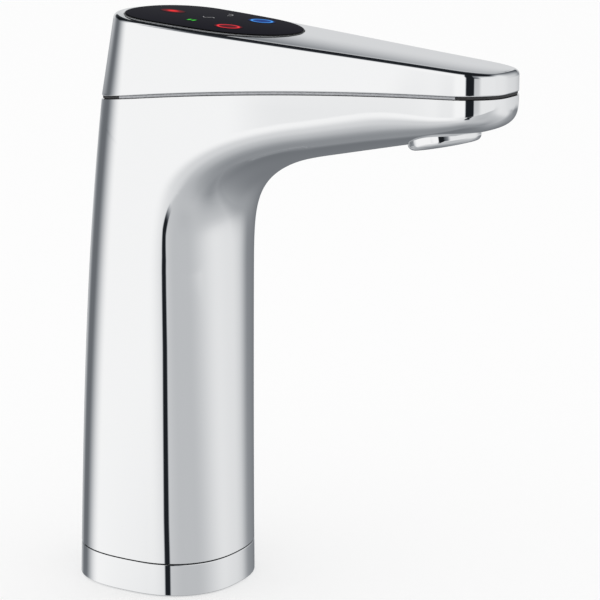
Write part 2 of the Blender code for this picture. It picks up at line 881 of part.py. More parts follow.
def make_column_collar():
    """Collar on the plate that locates the foot ring and the column."""
    bm = bmesh.new()
    loop_solid(bm, [foot_loop(skin_inset, collar_bottom), foot_loop(skin_inset, collar_shelf),
                    foot_loop(skin_inset, collar_top), foot_loop(collar_inset, collar_top),
                    foot_loop(collar_inset, collar_shelf), foot_loop(flange_inset, collar_shelf),
                    foot_loop(flange_inset, collar_bottom)])
    collar = new_object("column_collar", bm, grey_plastic)
    holes = [(spot.x, spot.y, screw_hole_radius) for spot in collar_spots()]
    drill(collar, "collar_holes", holes, collar_bottom - overrun, collar_shelf + overrun,
          world_frame)
    level = collar_shelf + fit
    screws = [screw_loops(spot.x, spot.y, level, level - fit, screw_radius,
                          screw_head_radius, screw_head_height) for spot in collar_spots()]
    numbered_solids("collar_screw", screws, steel, world_frame)


def make_grub_screw(column):
    """Grub screw at the back that clamps the column to its collar."""
    outside = Matrix.Translation((back_line(grub_height), 0.0, grub_height))
    frame = outside @ Matrix.Rotation(-math.pi / 2.0, 4, "Y")
    drill(column, "grub_hole", [(0.0, 0.0, grub_radius + fit)],
          -body_wall - overrun, overrun, frame)
    socket_bottom = -grub_inset - grub_socket_depth
    framed_solid("grub_screw", [circle(0.0, 0.0, grub_radius, -body_wall),
                                circle(0.0, 0.0, grub_radius, -grub_inset),
                                circle(0.0, 0.0, grub_socket_radius, -grub_inset),
                                circle(0.0, 0.0, grub_socket_radius, socket_bottom)],
                 steel, frame)


thread_bore = thread_radius + thread_clearance


def cut_outlet_seat(column):
    """Boss inside the belly, and the hole and seat for the outlet through it."""
    boss = lathe("outlet_boss", [(0.0, boss_bottom), (boss_radius, boss_bottom),
                                 (boss_radius, boss_top), (0.0, boss_top)], chrome)
    add_cut(column, place(boss, outlet_frame), "UNION")
    below = -outlet_drop - overrun
    above = boss_top + overrun
    seat_radius = outlet_radius + fit
    hole = lathe("outlet_hole", [(0.0, below), (seat_radius, below),
                                 (seat_radius, outlet_seat_depth),
                                 (thread_bore, outlet_seat_depth),
                                 (thread_bore, above), (0.0, above)], None)
    add_cut(column, place(hole, outlet_frame))


def make_nozzle():
    """Outlet ring with its thread and a groove for the seal."""
    rim = outlet_rim_radius
    low = -outlet_drop
    rim_turn = rim * (1.0 - math.sqrt(0.5))
    shoulder = outlet_seat_depth - fit
    groove_top = seal_groove_bottom + 2.0 * (seal_section + fit)
    insert_bore = insert_radius + fit
    insert_stop = insert_top + fit
    profile = [(insert_bore, insert_bottom), (outlet_mouth_radius, low + rim_turn),
               (outlet_mouth_radius + rim_turn, low), (outlet_radius - rim, low),
               (outlet_radius - rim_turn, low + rim_turn), (outlet_radius, low + rim),
               (outlet_radius, shoulder), (thread_radius, shoulder),
               (thread_radius, seal_groove_bottom), (seal_groove_radius, seal_groove_bottom),
               (seal_groove_radius, groove_top), (thread_radius, groove_top),
               (thread_radius, thread_top), (throat_radius, thread_top),
               (throat_radius, insert_stop), (insert_bore, insert_stop)]
    place(lathe("outlet_nozzle", profile, chrome, 32), outlet_frame)


def make_outlet_seal():
    middle = seal_groove_radius + fit + seal_section
    height = seal_groove_bottom + fit + seal_section
    ring = [(middle + seal_section * math.cos(a), height + seal_section * math.sin(a))
            for a in spread(0.0, 2.0 * math.pi, 6)]
    place(lathe("outlet_seal", ring, seal_rubber, 24), outlet_frame)


def make_flow_insert():
    """Plastic disc with a field of holes that calms the water."""
    insert = framed_solid("flow_insert", [circle(0.0, 0.0, insert_radius, insert_bottom, 24),
                                          circle(0.0, 0.0, insert_radius, insert_top, 24)],
                          white_plastic, outlet_frame)
    holes = []
    for row in range(-2, 3):
        for place_in_row in range(-3, 4):
            x = cell_pitch * (place_in_row + row / 2.0)
            y = cell_pitch * row * math.sqrt(3.0) / 2.0
            if math.hypot(x, y) < insert_radius - cell_pitch * cell_edge_share:
                holes.append((x, y))
    bm = bmesh.new()
    for x, y in holes:
        plate_solid(bm, [circle(x, y, cell_radius, insert_bottom - overrun, 6),
                         circle(x, y, cell_radius, insert_top + overrun, 6)])
    add_cut(insert, place(new_object("cell_holes", bm, None), outlet_frame))


def along_arm(x, y, height):
    """Frame on the outlet's axes whose Z runs along the belly towards the tip."""
    spot = Matrix.Translation((x, y, height))
    return outlet_frame @ spot @ Matrix.Rotation(math.pi / 2.0, 4, "Y")


def make_manifold():
    """Block over the outlet that joins both tubes, with a barb for each."""
    block = place(lathe("outlet_manifold",
                        [(0.0, socket_top), (thread_bore, socket_top),
                         (thread_bore, manifold_seat), (manifold_radius, manifold_seat),
                         (manifold_radius, manifold_top), (0.0, manifold_top)],
                        grey_plastic), outlet_frame)
    barbs, bores = bmesh.new(), bmesh.new()
    start = -manifold_radius - barb_length
    for side in (-1, 1):
        y = side * tube_spacing / 2.0
        plate_solid(barbs, [circle(0.0, y, barb_radius, start),
                            circle(0.0, y, barb_radius, -barb_root)])
        plate_solid(bores, [circle(0.0, y, barb_bore, start - overrun),
                            circle(0.0, y, barb_bore, -barb_bore_end)])
    frame = along_arm(0.0, 0.0, tube_belly_height)
    add_cut(block, place(new_object("manifold_barbs", barbs, grey_plastic), frame), "UNION")
    add_cut(block, place(new_object("barb_bores", bores, None), frame))


def tube_path(y):
    """Up the column, round the bend and along the belly to the manifold."""
    climb = math.atan(belly_slope)
    turn = math.pi / 2.0 - climb
    end_x = tube_x + tube_bend * (1.0 - math.cos(turn))
    run_z = (belly_height + belly_slope * (end_x - belly_station)
             + tube_belly_height / math.cos(climb))
    start_z = run_z - tube_bend * math.sin(turn)
    path = [Vector((tube_x, y, fit)), Vector((tube_x, y, start_z / 2.0))]
    for a in spread(0.0, turn, 7) + [turn]:
        path.append(Vector((tube_x + tube_bend * (1.0 - math.cos(a)), y,
                            start_z + tube_bend * math.sin(a))))
    path.append(outlet_frame @ Vector((-manifold_radius - 2.0 * fit, y, tube_belly_height)))
    return path


def make_tubes():
    for name, side in (("chilled_tube", -1), ("hot_tube", 1)):
        path = tube_path(side * tube_spacing / 2.0)
        outer = round_loops(path, tube_radius, 12)
        inner = round_loops(path, tube_bore, 12)
        bm = bmesh.new()
        loop_solid(bm, outer + inner[::-1])
        new_object(name, bm, tube_clear)


def make_tube_clips():
    """Spring clip over each barb."""
    hole = tube_radius + fit
    rim = hole + clip_wall
    for name, side in (("chilled_tube_clip", -1), ("hot_tube_clip", 1)):
        frame = along_arm(-manifold_radius - barb_length, side * tube_spacing / 2.0,
                          tube_belly_height)
        place(lathe(name, [(hole, 0.0), (rim, 0.0), (rim, clip_length), (hole, clip_length)],
                    steel, 16), frame)


def make_tube_guide():
    """Plastic web across the column that keeps the tubes and the cable apart."""
    low, high = guide_height, guide_height + guide_thickness
    guide = framed_solid("tube_guide", [foot_loop(body_wall + fit, low),
                                        foot_loop(body_wall + fit, high)],
                         grey_plastic, world_frame)
    holes = [(x, y, tube_radius + fit) for x, y in tube_spots]
    holes.append((cable_x, 0.0, cable_radius + fit))
    holes.append((guide_slot_x, 0.0, guide_slot_radius))
    drill(guide, "guide_holes", holes, low - overrun, high + overrun, world_frame)


def chassis_top(x):
    return chassis_height + chassis_slope * x


def chassis_bottom(x):
    return chassis_top(x) - chassis_thickness


side_pillars = [(head_widest, side * pillar_side_y) for side in (-1, 1)]
pillar_spots = [(pillar_front_x, 0.0)] + side_pillars


def make_chassis():
    """Flat plate below the parting line that carries the cover on its pillars."""
    loops = []
    for height_at in (chassis_bottom, chassis_top):
        outline = inset_loop(head_outline(height_at), body_wall + chassis_clearance)
        squared = [Vector((min(p.x, chassis_end), p.y, p.z)) for p in outline]
        loops.append(lift_loop(squared, height_at))
    chassis = framed_solid("head_chassis", loops, grey_plastic, world_frame)
    holes = [(x, y, pillar_screw_radius + 2.0 * fit) for x, y in pillar_spots]
    holes.append((cable_top_x, 0.0, cable_hole_radius))
    drill(chassis, "chassis_holes", holes, chassis_bottom(back_line(lean_height)) - overrun,
          chassis_top(tip_end) + overrun, world_frame)


def pillar_loops(x, y):
    """Pillar from the chassis to the cover's roof, bored from below for its screw."""
    foot = chassis_top(x + pillar_radius) + fit
    head = top_plane(x + pillar_radius) - cover_roof - fit
    return [circle(x, y, pillar_bore, foot + pillar_bore_depth),
            circle(x, y, pillar_bore, foot),
            circle(x, y, pillar_radius, foot), circle(x, y, pillar_radius, head)]


def make_pillars():
    framed_solid("front_pillar", pillar_loops(*pillar_spots[0]), steel, world_frame)
    numbered_solids("side_pillar", [pillar_loops(x, y) for x, y in side_pillars],
                steel, world_frame)
    screws = []
    for x, y in pillar_spots:
        level = chassis_bottom(x - pillar_screw_head) - fit
        tip = chassis_top(x) + pillar_bore_depth
        screws.append(screw_loops(x, y, level, level - tip, pillar_screw_radius,
                                  pillar_screw_head, -screw_head_height))
    numbered_solids("pillar_screw", screws, steel, world_frame)


glass_bottom = -(glass_thickness - glass_proud)
light_top = glass_bottom - fit
light_bottom = light_top - light_height
board_top = light_bottom - fit
board_bottom = board_top - board_thickness
tray_top = -cover_roof - fit
floor_top = board_bottom - fit
floor_bottom = floor_top - tray_floor
board_screw_holes = [(x, 0.0, board_hole_radius)
                     for x in (board_screw_front_x, board_screw_back_x)]


def make_board_tray():
    """Shallow tray under the glass that holds the touch board."""
    rim, wall = glass_outline(tray_inset), glass_outline(tray_inset + tray_rim)
    tray = framed_solid("board_tray", [at_level(wall, floor_top), at_level(wall, tray_top),
                                       at_level(rim, tray_top), at_level(rim, floor_bottom)],
                        grey_plastic, deck_frame)
    drill(tray, "tray_holes", board_screw_holes, floor_bottom - overrun,
          floor_top + overrun, deck_frame)


def make_touch_board():
    outline = glass_outline(board_inset)
    board = framed_solid("touch_board", [at_level(outline, board_bottom),
                                         at_level(outline, board_top)],
                         board_green, deck_frame)
    drill(board, "board_holes", board_screw_holes, board_bottom - overrun,
          board_top + overrun, deck_frame)
    level = board_top + fit
    screws = [screw_loops(x, 0.0, level, level - floor_bottom - fit, board_screw_radius,
                          board_screw_head, light_height * socket_depth_share)
              for x in (board_screw_front_x, board_screw_back_x)]
    numbered_solids("board_screw", screws, steel, deck_frame)


def make_light_ring(name, side, material):
    """Ring-shaped light guide between the board and the glass."""
    x, y = ring_light_x, side * ring_light_y
    hole = ring_light_radius - ring_light_width
    bm = bmesh.new()
    loop_solid(bm, [circle(x, y, ring_light_radius, light_bottom, 20),
                    circle(x, y, ring_light_radius, light_top, 20),
                    circle(x, y, hole, light_top, 20), circle(x, y, hole, light_bottom, 20)])
    place(new_object(name, bm, material), deck_frame)


def make_lamps():
    """Alert lamp and the pair of ready lamps on the board."""
    length, width = alert_length / 2.0, alert_width / 2.0
    corners = [(-length, -width), (length, -width), (length, width), (-length, width)]
    framed_solid("alert_lamp", [[Vector((alert_x + cx, alert_y + cy, z)) for cx, cy in corners]
                                for z in (light_bottom, light_top)], red_light, deck_frame)
    ready = []
    for side in (-1, 1):
        x = ready_x + side * ready_spacing / 2.0
        ready.append([circle(x, ready_y, ready_radius, z, 8)
                      for z in (light_bottom, light_top)])
    numbered_solids("ready_lamp", ready, green_light, deck_frame)


def make_cable():
    """Signal cable from the board tray down to the bench."""
    start = deck_frame @ Vector((cable_top_x, 0.0, floor_bottom - fit))
    path = [Vector((cable_x, 0.0, fit)), Vector((cable_x, 0.0, guide_height))]
    for share in spread(0.0, 1.0, 8) + [1.0]:
        x = mix(cable_x, cable_top_x, smooth_share(share, 0.0, 1.0))
        path.append(Vector((x, 0.0, mix(cable_bend_bottom, cable_bend_top, share))))
    path.append(Vector((cable_top_x, 0.0, start.z - fit)))
    framed_solid("signal_cable", round_loops(path, cable_radius, 10), seal_rubber, world_frame)


body = make_body_shell()
make_grub_screw(body)
cut_outlet_seat(body)
make_top_cover()
make_glass()
make_glass_pad()
make_parting_gasket()
make_base_ring()
make_foot_seal()
make_mounting_plate()
make_column_collar()
make_nozzle()
make_outlet_seal()
make_flow_insert()
make_manifold()
make_tubes()
make_tube_clips()
make_tube_guide()
make_chassis()
make_pillars()
make_board_tray()
make_touch_board()
make_light_ring("hot_light_ring", -1, red_light)
make_light_ring("cold_light_ring", 1, blue_light)
make_lamps()
make_cable()
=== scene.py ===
# A bench-mounted tap for instant hot and chilled water, dressed for its studio picture.
# The spout runs along +X, the mirror plane is Y = 0 and the bench top is Z = 0.
import math

import bmesh
import bpy
from mathutils import Matrix, Vector


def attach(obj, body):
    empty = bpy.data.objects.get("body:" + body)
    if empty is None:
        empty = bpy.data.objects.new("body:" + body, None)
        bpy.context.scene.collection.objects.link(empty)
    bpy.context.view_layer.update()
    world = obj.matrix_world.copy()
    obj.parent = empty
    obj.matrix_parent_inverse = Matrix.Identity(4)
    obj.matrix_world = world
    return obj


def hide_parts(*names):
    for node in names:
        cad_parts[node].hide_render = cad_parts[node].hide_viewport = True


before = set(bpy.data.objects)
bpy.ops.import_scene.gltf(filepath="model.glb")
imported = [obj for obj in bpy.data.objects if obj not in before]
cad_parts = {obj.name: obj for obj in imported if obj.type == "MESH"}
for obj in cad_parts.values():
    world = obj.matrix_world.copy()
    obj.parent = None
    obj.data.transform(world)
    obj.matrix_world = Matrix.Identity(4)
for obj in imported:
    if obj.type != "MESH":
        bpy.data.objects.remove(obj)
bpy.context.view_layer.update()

quarterTurn = math.pi / 2
fullTurn = math.pi * 2
mergeDistance = 0.000004
shutWidth = 0.0003  # a section whose ends are nearer than this is a closed one
sharpAngle = math.radians(35)

# The sizes that the part is built from, in metres
column = {
    "front": 0.0371, "footFlare": 0.0011, "footBack": 0.0383,
    "footHalfWidth": 0.0349, "footWidest": 0.0047,
    "headHalfWidth": 0.0368, "headWidest": 0.0120,
    "leanHeight": 0.2500, "leanStraight": 0.00691, "leanFlare": 0.01259,
    "footCornerPower": 2.45, "footBackPower": 2.6, "headBackPower": 2.0,
    "wall": 0.0030,
}
tip = {
    "halfWidth": 0.0205, "sideEnd": 0.1440, "end": 0.1677, "taper": -0.10, "planPower": 3.1,
    "cornerRun": 0.0125, "cornerRise": 0.0077, "cornerPower": 2.7,
    "lift": 0.0010, "liftFull": 0.1600,
}
head = {
    "topHeight": 0.25395, "topSlope": -0.0988, "edgeRadius": 0.0020,
    "lean": 0.0018, "leanUntil": 0.0500, "leanGone": 0.1400,
    "crest": 0.2281, "crestX": 0.1580, "drop": 0.0064, "dropX": 0.0100, "power": 2.5,
    "noseRise": 0.0003, "riseFrom": 0.1500, "riseFull": 0.1660,
    "gap": 0.0018, "coverGap": 0.0005, "wall": 0.0024, "roof": 0.0046, "lipRadius": 0.0005,
}
cove = {"start": 0.1450, "run": 0.0500, "power": 2.4, "risePower": 4.4}
belly = {
    "height": 0.1966, "station": 0.0784, "slope": 0.19683,
    "turnStart": 0.1410, "turnPower": 1.5, "tipStart": 0.1120, "tipFull": 0.1620,
    "coveDepth": 0.0225, "armDepth": 0.0178, "tipDepth": 0.0080,
    "covePower": 2.7, "armPower": 2.45, "tipPower": 2.6,
}
foot = {
    "ringLift": 0.0005, "ringHeight": 0.0144, "ringWall": 0.0032, "ringEdge": 0.0004,
    "edgeSteps": 4, "columnGap": 0.0006,
}
panel = {
    "front": 0.0675, "margin": 0.0068, "backMargin": 0.0066, "frontPower": 2.2,
    "backPower": 2.1, "frontRun": 0.0290, "proud": 0.0008, "thickness": 0.0025,
    "bevel": 0.00050, "ledge": 0.0040, "seatDepth": 0.0027, "clearance": 0.0003,
}
outlet = {
    "x": 0.1380, "radius": 0.0153, "drop": 0.0025, "rimRadius": 0.0026, "mouth": 0.0117,
    "seatDepth": 0.0030, "clearance": 0.0001,
    "threadRadius": 0.0124, "boreRadius": 0.0129, "threadTop": 0.0090, "throat": 0.0085,
    "grooveRadius": 0.0108, "grooveLow": 0.0063, "grooveHigh": 0.0083,
    "insertRadius": 0.0102, "insertLow": -0.0012, "insertHigh": 0.0039, "insertGap": 0.0002,
    "lip": 0.0004, "shoulderEdge": 0.0002, "sealSection": 0.0007, "sealStretch": 0.0003,
    "ringSteps": 128, "sealSteps": 72, "sealSides": 12,
}


def mix(a, b, share):
    return a + (b - a) * share


def smoothShare(value, start, end):
    share = min(max((value - start) / (end - start), 0.0), 1.0)
    return share * share * (3.0 - 2.0 * share)


def closing(share, power):  # how wide a superellipse still is on the way to its end
    share = min(max(share, 0.0), 1.0)
    return (1.0 - share ** power) ** (1.0 / power)


def spread(start, end, count):
    return [mix(start, end, i / count) for i in range(count)]


def backLine(z):
    share = z / column["leanHeight"]
    return -column["footBack"] + column["leanStraight"] * share + column["leanFlare"] * share ** 3


def frontLine(z):
    share = max(1.0 - z / cove["start"], 0.0)
    return column["front"] + column["footFlare"] * share ** 2


def partingLine(x):
    share = max(head["crestX"] - x, 0.0) / (head["crestX"] - head["dropX"])
    line = head["crest"] - head["drop"] * share ** head["power"]
    return line + head["noseRise"] * smoothShare(x, head["riseFrom"], head["riseFull"])


def rimLine(x):
    return partingLine(x) - head["gap"] / 2


def topPlane(x):
    return head["topHeight"] + head["topSlope"] * x


def leanShare(z):
    return min(max(z / partingLine(0.0), 0.0), 1.0)


def widestAt(z):
    return mix(column["footWidest"], column["headWidest"], leanShare(z))


def wallHalfWidth(x, z):  # half width of the outer side above plan point x at height z
    share = leanShare(z)
    widest = widestAt(z)
    width = mix(column["footHalfWidth"], column["headHalfWidth"], share)
    if x < widest:
        power = mix(column["footBackPower"], column["headBackPower"], share)
        return width * closing((widest - x) / (widest - backLine(z)), power)
    span = tip["sideEnd"] - widest
    t = (x - widest) / span
    if t <= 1.0:
        fall = 2 * t ** 3 - 3 * t ** 2
        bend = t ** 3 - t ** 2
        return width * (1 + fall) - tip["halfWidth"] * fall + bend * span * tip["taper"]
    past = x - tip["sideEnd"]
    straight = tip["halfWidth"] + tip["taper"] * past
    return straight * closing(past / (tip["end"] - tip["sideEnd"]), tip["planPower"])


coveEnd = column["front"] + cove["run"]


def bellyLine(x):
    base = belly["height"] + belly["slope"] * (x - belly["station"])
    base += tip["lift"] * smoothShare(x, outlet["x"], tip["liftFull"])
    start = tip["end"] - tip["cornerRun"]
    if x > start:
        closed = closing((x - start) / tip["cornerRun"], tip["cornerPower"])
        base += tip["cornerRise"] * (1 - closed)
    return base


def covePoint(turn):
    x = coveEnd - cove["run"] * math.cos(turn) ** (2 / cove["power"])
    straight = belly["height"] + belly["slope"] * (x - belly["station"])
    risen = math.sin(turn) ** (2 / cove["risePower"])
    return Vector((x, 0, cove["start"] + (straight - cove["start"]) * risen))


def coveHit(end):  # where the line from end to the cove's centre meets the cove
    aim = math.atan2(end.z - cove["start"], coveEnd - end.x)
    low, high = 0.0, quarterTurn
    for _ in range(50):
        middle = (low + high) / 2
        point = covePoint(middle)
        if math.atan2(point.z - cove["start"], coveEnd - point.x) < aim:
            low = middle
        else:
            high = middle
    return covePoint((low + high) / 2)


def backStations(heightAt, count):
    back = backLine(heightAt(backLine(heightAt(0.0))))
    widest = widestAt(heightAt(column["headWidest"]))
    return [widest - (widest - back) * math.cos(a) for a in spread(0.0, quarterTurn, count)]


def tipStations(count):
    power = 2 / tip["planPower"]
    turns = [quarterTurn * i / count for i in range(1, count + 1)]
    return [tip["sideEnd"] + (tip["end"] - tip["sideEnd"]) * math.sin(a) ** power for a in turns]


def shellStations(bottom, rows):  # front and end point of every section of the body
    stations = []
    for z in spread(bottom, cove["start"], rows["column"]):
        stations.append((Vector((frontLine(z), 0, z)), Vector((backLine(z), 0, z))))
    backs = backStations(rimLine, rows["back"])
    for z in spread(cove["start"], rimLine(backs[0]), rows["turn"]):
        end = Vector((backLine(z), 0, z))
        stations.append((coveHit(end), end))
    for x in backs + spread(column["headWidest"], coveEnd, rows["crown"]):
        end = Vector((x, 0, rimLine(x)))
        stations.append((coveHit(end), end))
    arm = spread(coveEnd, tip["sideEnd"], rows["arm"]) + [tip["sideEnd"]] + tipStations(rows["tip"])
    for x in arm:
        stations.append((Vector((x, 0, bellyLine(x))), Vector((x, 0, rimLine(x)))))
    return stations


def cornerForm(front):  # depth and power of the rounding from the front or belly into the side
    if front.z <= belly["turnStart"]:
        return front.x - widestAt(front.z), column["footCornerPower"]
    turned = smoothShare(front.z, belly["turnStart"], belly["height"]) ** belly["turnPower"]
    depth = mix(column["front"] - widestAt(front.z), belly["coveDepth"], turned)
    power = mix(column["footCornerPower"], belly["covePower"], turned)
    out = smoothShare(front.x, column["front"], belly["station"])
    depth, power = mix(depth, belly["armDepth"], out), mix(power, belly["armPower"], out)
    out = smoothShare(front.x, belly["tipStart"], belly["tipFull"])
    depth, power = mix(depth, belly["tipDepth"], out), mix(power, belly["tipPower"], out)
    if front.x > coveEnd:
        depth = min(depth, partingLine(front.x) - front.z)
    return depth, power


def resample(dense, count, bendWeight=0.35):  # points closer together where the line bends
    total = sum((b - a).length for a, b in zip(dense, dense[1:]))
    if total == 0.0:
        return [dense[0].copy() for _ in range(count + 1)]
    weights = [0.0]
    for i in range(1, len(dense)):
        step = dense[i] - dense[i - 1]
        bend = 0.0
        if i > 1 and step.length > 0.0:
            before = dense[i - 1] - dense[i - 2]
            bend = before.angle(step) if before.length > 0.0 else 0.0
        weights.append(weights[-1] + step.length / total + bendWeight * bend / math.pi)
    points = []
    k = 0
    for i in range(count + 1):
        aim = weights[-1] * i / count
        while k < len(dense) - 2 and weights[k + 1] < aim:
            k += 1
        gap = weights[k + 1] - weights[k]
        points.append(dense[k].lerp(dense[k + 1], (aim - weights[k]) / gap if gap > 0.0 else 0.0))
    return points


def sectionPoints(front, end, count, samples=480):
    depth, power = cornerForm(front)
    dense = []
    for i in range(samples + 1):
        point = front.lerp(end, 0.5 - 0.5 * math.cos(math.pi * i / samples))
        along = (point - front).length
        rise = closing(1 - along / depth, power) if along < depth else 1.0
        dense.append(Vector((point.x, rise * wallHalfWidth(point.x, point.z), point.z)))
    if front.x >= tip["end"]:
        dense = [Vector((p.x, 0, p.z)) for p in dense]
    if end.x <= backLine(end.z) + mergeDistance:
        dense[-1].y = 0.0
    points = resample(dense, count)
    points[0].y = 0.0
    return points


def headOutline(heightAt, counts):  # closed outline of the head, seen from above anticlockwise
    xs = backStations(heightAt, counts["back"])
    xs += spread(column["headWidest"], tip["sideEnd"], counts["side"]) + [tip["sideEnd"]]
    xs += tipStations(counts["tip"])
    half = [Vector((x, wallHalfWidth(x, heightAt(x)), heightAt(x))) for x in xs]
    half[0].y = half[-1].y = 0.0
    return [Vector((p.x, -p.y, p.z)) for p in half] + half[-2:0:-1]


def columnOutline(z, count):
    half = sectionPoints(Vector((frontLine(z), 0, z)), Vector((backLine(z), 0, z)), count)
    return [Vector((p.x, -p.y, p.z)) for p in reversed(half)] + half[1:-1]


def insetLoop(points, distance):  # moves a closed outline inwards in plan
    moved = []
    for k, point in enumerate(points):
        along = points[(k + 1) % len(points)] - points[k - 1]
        moved.append(point - Vector((along.y, -along.x, 0)).normalized() * distance)
    return moved


def liftLoop(points, heightAt):
    return [Vector((p.x, p.y, heightAt(p.x))) for p in points]


def levelLoop(points, z):
    return [Vector((p.x, p.y, z)) for p in points]


def lowerEdge(radius, steps):  # (inset, height) of a rounded edge from the underside to the side
    turns = spread(0.0, quarterTurn, steps) + [quarterTurn]
    return [(radius * (1 - math.sin(a)), radius * (1 - math.cos(a))) for a in turns]


def upperEdge(radius, steps):  # (inset, drop) of a rounded edge from the side to the top
    turns = spread(0.0, quarterTurn, steps) + [quarterTurn]
    return [(radius * (1 - math.cos(a)), radius * (1 - math.sin(a))) for a in turns]


# Meshes
def gridSkin(bm, lines):  # a grid whose vertices go to the points of equally long lines
    across, along = len(lines[0]) - 1, len(lines) - 1
    made = bmesh.ops.create_grid(bm, x_segments=across, y_segments=along, size=1.0)
    for vert in made["verts"]:
        row = round((vert.co.y + 1) / 2 * along)
        place = round((vert.co.x + 1) / 2 * across)
        vert.co = lines[row][place]
    return made["verts"]


def closedSkin(bm, loops):  # wraps loops into one skin, its long seam welded
    gridSkin(bm, [loop + loop[:1] for loop in loops])
    bmesh.ops.remove_doubles(bm, verts=bm.verts[:], dist=mergeDistance)


def openLoops(bm):
    return [edge for edge in bm.edges if len(edge.link_faces) == 1]


def evenNormals(piece):  # keeps wide faces flat beside their narrow rounded edges
    weighted = piece.modifiers.new("evenNormals", "WEIGHTED_NORMAL")
    weighted.mode = "FACE_AREA"
    weighted.weight = 50
    weighted.keep_sharp = True


def finishPiece(name, bm, material, body="root", stands=(), turn=None):
    if turn is not None:
        bmesh.ops.transform(bm, matrix=turn, verts=bm.verts[:])
    bmesh.ops.recalc_face_normals(bm, faces=bm.faces[:])
    if bm.calc_volume(signed=True) < 0:
        bmesh.ops.reverse_faces(bm, faces=bm.faces[:])
    mesh = bpy.data.meshes.new(name)
    bm.to_mesh(mesh)
    bm.free()
    mesh.materials.append(material)
    mesh.shade_smooth()
    mesh.set_sharp_from_angle(angle=sharpAngle)
    piece = bpy.data.objects.new(name, mesh)
    bpy.context.scene.collection.objects.link(piece)
    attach(piece, body)
    if stands:
        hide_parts(*stands)
    return piece


def cutWith(piece, tool):  # cuts the tool's shape out of the piece and drops the tool
    cut = piece.modifiers.new("cut", "BOOLEAN")
    cut.operation = "DIFFERENCE"
    cut.solver = "EXACT"
    cut.object = tool
    bpy.context.view_layer.update()
    evaluated = piece.evaluated_get(bpy.context.evaluated_depsgraph_get())
    shaped = bpy.data.meshes.new_from_object(evaluated)
    piece.modifiers.clear()
    old = piece.data
    piece.data = shaped
    shaped.name = piece.name
    bpy.data.meshes.remove(old)
    spent = tool.data
    bpy.data.objects.remove(tool)
    bpy.data.meshes.remove(spent)
    piece.data.shade_smooth()
    piece.data.set_sharp_from_angle(angle=sharpAngle)


def cutter(bm, turn):
    bmesh.ops.transform(bm, matrix=turn, verts=bm.verts[:])
    bmesh.ops.recalc_face_normals(bm, faces=bm.faces[:])
    mesh = bpy.data.meshes.new("tool")
    bm.to_mesh(mesh)
    bm.free()
    tool = bpy.data.objects.new("tool", mesh)
    bpy.context.scene.collection.objects.link(tool)
    return tool


def spun(profile, steps):  # turns a profile of (radius, height) round the Z axis
    bm = bmesh.new()
    verts = [bm.verts.new((radius, 0, z)) for radius, z in profile]
    edges = [bm.edges.new(pair) for pair in zip(verts, verts[1:])]
    if profile[0][0] > 0:
        edges.append(bm.edges.new((verts[-1], verts[0])))
    bmesh.ops.spin(bm, geom=verts + edges, cent=(0, 0, 0), axis=(0, 0, 1),
                   angle=fullTurn, steps=steps, use_merge=True)
    bmesh.ops.remove_doubles(bm, verts=bm.verts[:], dist=mergeDistance)
    return bm


def thicken(bm, low, high):  # makes flat faces a plate from one height to the other
    made = bmesh.ops.extrude_face_region(bm, geom=bm.faces[:], use_keep_orig=True)["geom"]
    bmesh.ops.translate(bm, vec=(0, 0, high - low),
                        verts=[part for part in made if isinstance(part, bmesh.types.BMVert)])
    bmesh.ops.translate(bm, vec=(0, 0, low), verts=bm.verts[:])


def arc(x, z, radius, start, end, steps):  # points of a profile's rounded corner
    return [(x + radius * math.cos(a), z + radius * math.sin(a))
            for a in spread(start, end, steps) + [end]]


deckPitch = math.atan(-head["topSlope"])
deckFrame = Matrix.Translation((0, 0, head["topHeight"])) @ Matrix.Rotation(deckPitch, 4, "Y")
outletFrame = (Matrix.Translation((outlet["x"], 0, bellyLine(outlet["x"])))
               @ Matrix.Rotation(-math.atan(belly["slope"]), 4, "Y"))


# Materials
def newMaterial(name, color, roughness, metallic=0.0):
    material = bpy.data.materials.new(name)
    material.use_nodes = True
    tree = material.node_tree
    shader = tree.nodes["Principled BSDF"]
    shader.inputs["Base Color"].default_value = (*color, 1)
    shader.inputs["Roughness"].default_value = roughness
    shader.inputs["Metallic"].default_value = metallic
    return material, tree, shader


def noiseOn(tree, scale, detail):
    place = tree.nodes.new("ShaderNodeTexCoord")
    noise = tree.nodes.new("ShaderNodeTexNoise")
    noise.inputs["Scale"].default_value = scale
    noise.inputs["Detail"].default_value = detail
    tree.links.new(place.outputs["Object"], noise.inputs["Vector"])
    return noise


def varyRoughness(tree, shader, noise, low, high):
    spreadNode = tree.nodes.new("ShaderNodeMapRange")
    spreadNode.inputs["To Min"].default_value = low
    spreadNode.inputs["To Max"].default_value = high
    tree.links.new(noise.outputs["Fac"], spreadNode.inputs["Value"])
    tree.links.new(spreadNode.outputs["Result"], shader.inputs["Roughness"])


def newRamp(tree, stops):  # stops are a position and a colour each
    ramp = tree.nodes.new("ShaderNodeValToRGB")
    made = ramp.color_ramp.elements
    while len(made) < len(stops):
        made.new(0.5)
    for stop, (position, color) in zip(made, stops):
        stop.position = position
        stop.color = (*color, 1)
    return ramp


def varyColor(tree, shader, noise, *colors):
    ramp = newRamp(tree, list(zip(mouldedLook["stops"], colors)))
    tree.links.new(noise.outputs["Fac"], ramp.inputs["Fac"])
    tree.links.new(ramp.outputs["Color"], shader.inputs["Base Color"])


def addBump(tree, shader, noise, strength, distance):
    bump = tree.nodes.new("ShaderNodeBump")
    bump.inputs["Strength"].default_value = strength
    bump.inputs["Distance"].default_value = distance
    tree.links.new(noise.outputs["Fac"], bump.inputs["Height"])
    tree.links.new(bump.outputs["Normal"], shader.inputs["Normal"])


